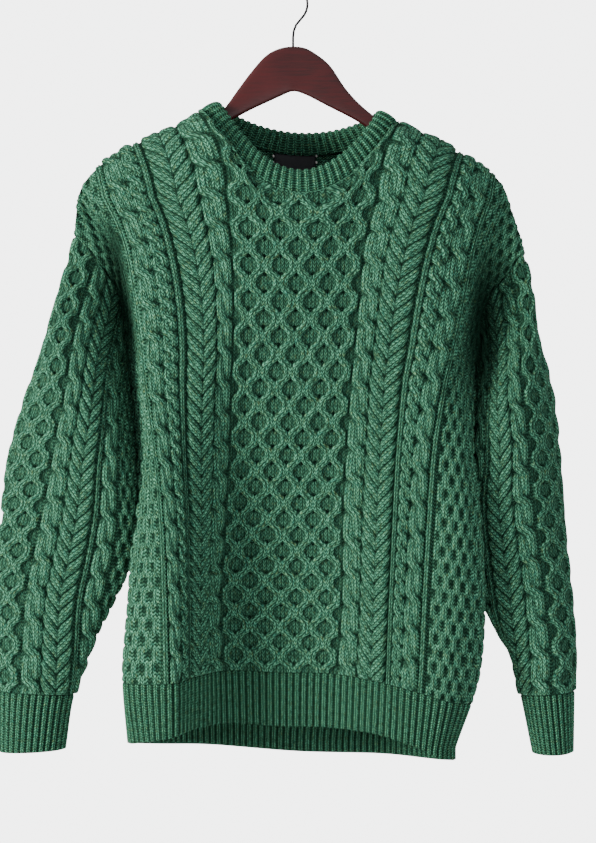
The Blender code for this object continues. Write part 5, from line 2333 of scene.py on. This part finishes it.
@dataclass
class Hanger(Dressing):
    """The bowed wooden bar and its wire hook."""

    form: Form
    wood: bpy.types.Material
    lacquer: bpy.types.Material
    thickness: float = 12.0
    wire: float = 2.6
    hook_radius: float = 21.5
    stem_top: float = -66.0
    sides: int = 28

    def build(self) -> None:
        """Build the bar and the hook."""
        bar = self.bar()
        hook = self.hook()
        self.place(bar, "hanger_bar", "stained_wood")
        self.place(hook, "hanger_hook", "black_wire")

    def bar(self) -> bpy.types.Object:
        """Shape the bar, bored for the hook.

        Returns:
            The piece.
        """
        knots = [row[0] for row in HANGER_BAR]
        inset = np.array((0.0, 0.6, 2.0))
        middle = np.linspace(knots[0] + 4.0, knots[-1] - 4.0, 100)
        x = np.concatenate((knots[0] + inset, middle, knots[-1] - inset[::-1]))
        edges = through(knots, [row[1:] for row in HANGER_BAR], x)
        swell = np.concatenate(((0.45, 0.75, 0.93), np.ones(len(middle)), (0.93, 0.75, 0.45)))
        turns = np.radians(np.arange(self.sides) * 360.0 / self.sides)
        rings = []
        for place, (top, under), full in zip(x, edges, swell):
            centre, half = (top + under) / 2.0, (top - under) / 2.0
            flat = np.sign(np.cos(turns)) * np.abs(np.cos(turns)) ** 0.5
            tall = np.sign(np.sin(turns)) * np.abs(np.sin(turns)) ** 0.7
            rings.append(np.stack((np.full(self.sides, place),
                                   self.form.bow(place) + self.thickness / 2.0 * flat * full,
                                   centre + half * tall * full), axis=1))
        grid = np.array(rings)
        index = np.arange(grid.shape[0] * self.sides).reshape(-1, self.sides)
        following = np.roll(index, -1, axis=1)
        quads = np.stack([part.ravel() for part in (
            index[:-1], following[:-1], following[1:], index[1:])], axis=1)
        caps = [index[:1, ::-1], index[-1:]]
        points = grid.reshape(-1, 3)
        faces, _ = outwards(points, [quads, *caps], [])
        bar = link("hanger_bar_shape", mesh_from("hanger_bar_shape", points, faces))
        bpy.ops.mesh.primitive_cylinder_add(
            vertices=24, radius=(self.wire / 2.0 + 0.3) * MM, depth=24.0 * MM,
            location=(self.form.hanger_centre * MM, 0.0, (self.stem_top - 1.0) * MM))
        drill = bpy.context.object
        bore = bar.modifiers.new("bore", "BOOLEAN")
        bore.operation, bore.solver, bore.object = "DIFFERENCE", "EXACT", drill
        mesh = baked(bar)
        bpy.data.objects.remove(drill, do_unlink=True)
        mesh.set_sharp_from_angle(angle=math.radians(42.0))
        mesh.materials.clear()
        mesh.materials.append(self.wood)
        return link("hanger_bar_wood", mesh)

    def hook(self) -> bpy.types.Object:
        """Bend the wire hook.

        Returns:
            The piece.
        """
        centre_x, top = self.form.hanger_centre, self.wire / 2.0 - self.hook_radius
        route = [(centre_x, self.stem_top - 9.0), (centre_x, -62.0), (centre_x, -56.0),
                 (centre_x + 0.8, -49.0), (centre_x + 3.4, -42.5), (centre_x + 8.4, -36.5)]
        for angle in range(-35, 158, 6):
            turn = math.radians(angle)
            route.append((self.hook_radius * math.cos(turn),
                          top + self.hook_radius * math.sin(turn)))
        curve = bpy.data.curves.new("hook_wire", "CURVE")
        curve.dimensions = "3D"
        curve.bevel_depth = self.wire / 2.0 * MM
        curve.bevel_resolution = 5
        curve.use_fill_caps = True
        spline = curve.splines.new("POLY")
        spline.points.add(len(route) - 1)
        for point, (x, z) in zip(spline.points, route):
            point.co = (x * MM, 0.0, z * MM, 1.0)
        mesh = baked(link("hook_wire", curve))
        mesh.polygons.foreach_set("use_smooth", np.ones(len(mesh.polygons), bool))
        mesh.materials.clear()
        mesh.materials.append(self.lacquer)
        return link("hanger_hook_wire", mesh)


# ================================================================ the studio
@dataclass
class Studio:
    """A plain pale floor, soft light from the viewer's left, and the camera. In metres."""

    floor_level: float = -1.9
    floor_reach: float = 4.5
    distance: float = 2.6
    half_view: float = 0.45522
    sensor: float = 24.0
    aim: tuple[float, float] = (0.01134, -0.471)

    def build(self) -> None:
        """Build the floor, the lights and the camera."""
        self.floor()
        self.lights()
        self.camera()

    def floor(self) -> None:
        """Lay the floor well below the hem."""
        mesh = bpy.data.meshes.new("studio_floor")
        reach, level = self.floor_reach, self.floor_level
        mesh.from_pydata([(-reach, -reach, level), (reach, -reach, level),
                          (reach, reach, level), (-reach, reach, level)], [], [(0, 1, 2, 3)])
        material, graph, shader = new_material("studio_floor")
        graph.wire(shader, {"Base Color": "#e9e8e6", "Roughness": 0.9})
        mesh.materials.append(material)
        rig.stage(link("studio_floor", mesh))

    @staticmethod
    def lights() -> None:
        """Set a large soft key at the viewer's left, a weak fill and a pale surround."""
        for name, place, target, size, power, colour in (
                ("key", (-2.4, -1.5, 0.0), (0.0, 0.0, -0.47), 0.9, 143.0, "#fffaf2"),
                ("fill", (1.4, -2.3, -0.7), (0.05, 0.0, -0.65), 2.0, 15.0, "#f4f6fa"),
                ("top", (-0.3, 0.9, 1.6), (0.0, 0.0, -0.3), 1.5, 5.0, "#ffffff")):
            data = bpy.data.lights.new(name, "AREA")
            data.shape, data.size, data.energy = "SQUARE", size, power
            data.color = linear(colour)[:3]
            lamp = link(name, data)
            lamp.location = place
            aim = Vector(target) - Vector(place)
            lamp.rotation_euler = aim.to_track_quat("-Z", "Y").to_euler()
            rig.stage(lamp)
        world = bpy.data.worlds.new("studio")
        world.use_nodes = True
        graph = Graph(world.node_tree)
        seen = graph.add("ShaderNodeLightPath").outputs["Is Camera Ray"]
        up = graph.add("ShaderNodeSeparateXYZ", {
            0: graph.add("ShaderNodeTexCoord").outputs["Generated"]}).outputs[2]
        sky = graph.out("ShaderNodeMapRange", up, -0.7, 0.8, 0.48, 0.95)
        graph.wire(world.node_tree.nodes["Background"], {
            "Color": "#f1f2f2", "Strength": graph.out("ShaderNodeMix", seen, sky, 5.5)})
        bpy.context.scene.world = world

    def camera(self) -> None:
        """Set the camera level with the middle of the garment, straight in front."""
        data = bpy.data.cameras.new("camera")
        data.sensor_fit, data.sensor_height = "VERTICAL", self.sensor
        data.lens = self.sensor / (2.0 * self.half_view / self.distance)
        camera = link("camera", data)
        camera.location = (self.aim[0], -self.distance, self.aim[1])
        camera.rotation_euler = (math.radians(90.0), 0.0, 0.0)
        bpy.context.scene.camera = camera


def main() -> None:
    """Build the sweater, its hanger and the studio."""
    logging.basicConfig(level=logging.INFO, format="%(message)s")
    form = Form()
    body_wool = HeatherWool("body_heather_wool").build()
    sleeve_wool = HeatherWool("sleeve_heather_wool").build()
    rib_wool = HeatherWool("rib_heather_wool", pale="#6abb96", cleft=0.85, grain=2.0).build()
    ribs = rib_tree()
    Hanger(form, StainedBeech().build(), BlackWire().build()).build()
    Body(form, body_wool, rib_wool, ribs).build()
    for side, rows in ((Side.RIGHT, SLEEVE_RIGHT), (Side.LEFT, SLEEVE_LEFT)):
        Sleeve(form, side, rows, sleeve_wool, rib_wool, ribs).build()
    Neck(form, rib_wool, WovenTape().build(), SewingThread().build(),
         SewingThread("white_tacking_thread", "#f2f2ee", "#c9cbc8").build(), ribs,
         stitch_tree()).build()
    Studio().build()
    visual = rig.bounds()
    with open("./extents.json", "w", encoding="utf-8") as file:
        json.dump({"cad": [list(corner) for corner in CAD_BOX],
                   "visual": [list(corner) for corner in visual]}, file)


if __name__ == "__main__":
    main()
